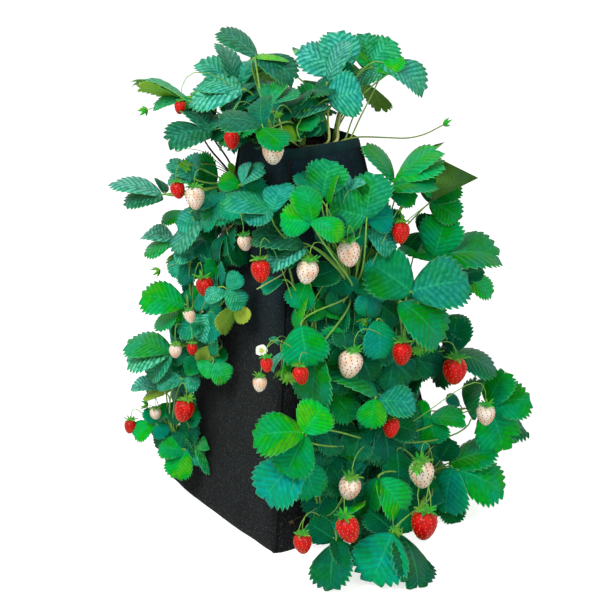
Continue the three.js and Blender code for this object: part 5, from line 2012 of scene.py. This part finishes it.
@dataclass
class Flower:
    """The open flower: five round petals round a yellow centre with its stamens."""

    finishes: Finishes
    radius: float = 9 * MM
    petals: int = 5
    stamens: int = 18

    def build(self, spot: Vector, facing: Vector) -> None:
        """Builds the flower.

        Args:
            spot: where its middle is.
            facing: the way that it looks.
        """
        bm = bmesh.new()
        for i in range(self.petals):
            turn = Matrix.Rotation(math.tau * i / self.petals, 3, "Z")
            grid = bmesh.ops.create_grid(bm, x_segments=6, y_segments=6, size=1)["verts"]
            for vert in grid:
                share, side = (vert.co.x + 1) / 2, vert.co.y
                wide = 0.62 * math.sin(math.pi * (0.08 + 0.86 * share)) ** 0.6
                local = Vector((0.12 + 0.88 * share - 0.12 * side * side * share, wide * side,
                                0.15 + 0.16 * share * share + 0.12 * side * side))
                vert.co = turn @ local * self.radius
        bm.normal_update()
        bmesh.ops.solidify(bm, geom=list(bm.faces), thickness=0.35 * MM)
        petal_faces = set(bm.faces)
        flat = Matrix.Diagonal((1, 1, 0.6, 1))
        add_ball(bm, Matrix.Translation((0, 0, self.radius * 0.18)) @ flat, self.radius * 0.3, 2)
        for i in range(self.stamens):
            angle = math.tau * i / self.stamens
            place = Vector((math.cos(angle), math.sin(angle), 0)) * self.radius * 0.38
            place.z = self.radius * 0.3
            add_ball(bm, Matrix.Translation(place), self.radius * 0.055)
        give_second_material(bm, petal_faces)
        bmesh.ops.transform(bm, matrix=Matrix.Translation(spot) @ turned_to(facing), verts=bm.verts)
        finish_piece(bm, "open_flower", (self.finishes.petal, self.finishes.pollen), "petal", "flower")


@dataclass
class Studio:
    """A plain white floor and backdrop under soft light."""

    view: PhotoView
    world_strength: float = 0.45
    floor_glow: float = 0.7

    @property
    def middle(self) -> Vector:
        """The middle of the tower, which the lamps look at."""
        return Vector((0, 0, 0.35))

    def build_floor(self) -> None:
        """Adds the floor."""
        bm = bmesh.new()
        bmesh.ops.create_grid(bm, x_segments=1, y_segments=1, size=12)
        mesh = bpy.data.meshes.new("studio_floor")
        bm.to_mesh(mesh)
        bm.free()
        material = bpy.data.materials.new("white_paper")
        material.use_nodes = True
        tree = material.node_tree
        tree.nodes.clear()
        paper = add_node(tree, "BsdfDiffuse", {"Color": (0.9, 0.9, 0.9, 1)})
        glow = add_node(tree, "Emission", {"Color": (1, 1, 1, 1), "Strength": self.floor_glow})
        lit = add_node(tree, "AddShader", {0: paper, 1: glow})
        seen = add_node(tree, "LightPath", output="Is Camera Ray")
        both = add_node(tree, "MixShader", {0: seen, 1: paper, 2: lit})
        add_node(tree, "OutputMaterial", {"Surface": both})
        mesh.materials.append(material)
        floor = link_object("studio_floor", mesh)
        floor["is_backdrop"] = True

    def build_world(self) -> None:
        """Sets the world: white to the camera, soft to the object."""
        world = bpy.data.worlds.new("studio")
        world.use_nodes = True
        tree = world.node_tree
        tree.nodes.clear()
        camera_ray = add_node(tree, "LightPath", output="Is Camera Ray")
        glossy_ray = add_node(tree, "LightPath", output="Is Glossy Ray")
        clear_ray = add_node(tree, "LightPath", output="Is Transmission Ray")
        straight = add_node(tree, "Math", {0: camera_ray, 1: glossy_ray}, operation="MAXIMUM")
        seen = add_node(tree, "Math", {0: straight, 1: clear_ray}, operation="MAXIMUM")
        strength = add_node(tree, "MapRange", {0: seen, 3: self.world_strength, 4: 1.0})
        back = add_node(tree, "Background", {"Color": (1, 1, 1, 1), "Strength": strength})
        add_node(tree, "OutputWorld", {"Surface": back})
        bpy.context.scene.world = world

    def add_lamp(self, name: str, place: Vector, size: float, power: float) -> None:
        """Adds a soft square lamp that looks at the middle of the tower.

        Args:
            name: its name.
            place: where it hangs.
            size: its side, in metres.
            power: its power, in watts.
        """
        data = bpy.data.lights.new(name, "AREA")
        data.size = size
        data.energy = power
        aim_object(name, data, place, self.middle - place)

    def build(self) -> None:
        """Builds the studio."""
        self.build_floor()
        self.build_world()
        toward = -self.view.level
        self.add_lamp("key_lamp", toward * 1.6 - self.view.right * 1.1 + UP * 2.3, 1.0, 44)
        self.add_lamp("fill_lamp", toward * 1.8 + self.view.right * 1.4 + UP * 1.2, 1.6, 12)


def main() -> None:
    """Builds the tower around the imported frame."""
    logging.basicConfig(level=logging.INFO, format="%(message)s")
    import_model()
    cad_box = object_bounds()
    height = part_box("rim_hem")[1].z
    bag, view = BagShape(height), PhotoView(height)
    view.make_camera()
    Studio(view).build()
    bpy.context.scene.view_settings.view_transform = "Standard"
    finishes = Finishes()
    FeltBag(bag, finishes).build()
    shown = {f"seam_tape_{corner}": finishes.thread for corner in CORNERS} | {"potting_mix": finishes.mix}
    for node, material in shown.items():
        materials = bpy.data.objects[node].data.materials
        materials.clear()
        materials.append(material)
    for name in FILL:
        Plant(name, spots_of(name), bag, view, finishes, cad_box).build()
    Flower(finishes).build(view.on_face(bag, FRONT, FLOWER_SPOT), (UP - view.level * 1.2).normalized())


if __name__ == "__main__":
    main()
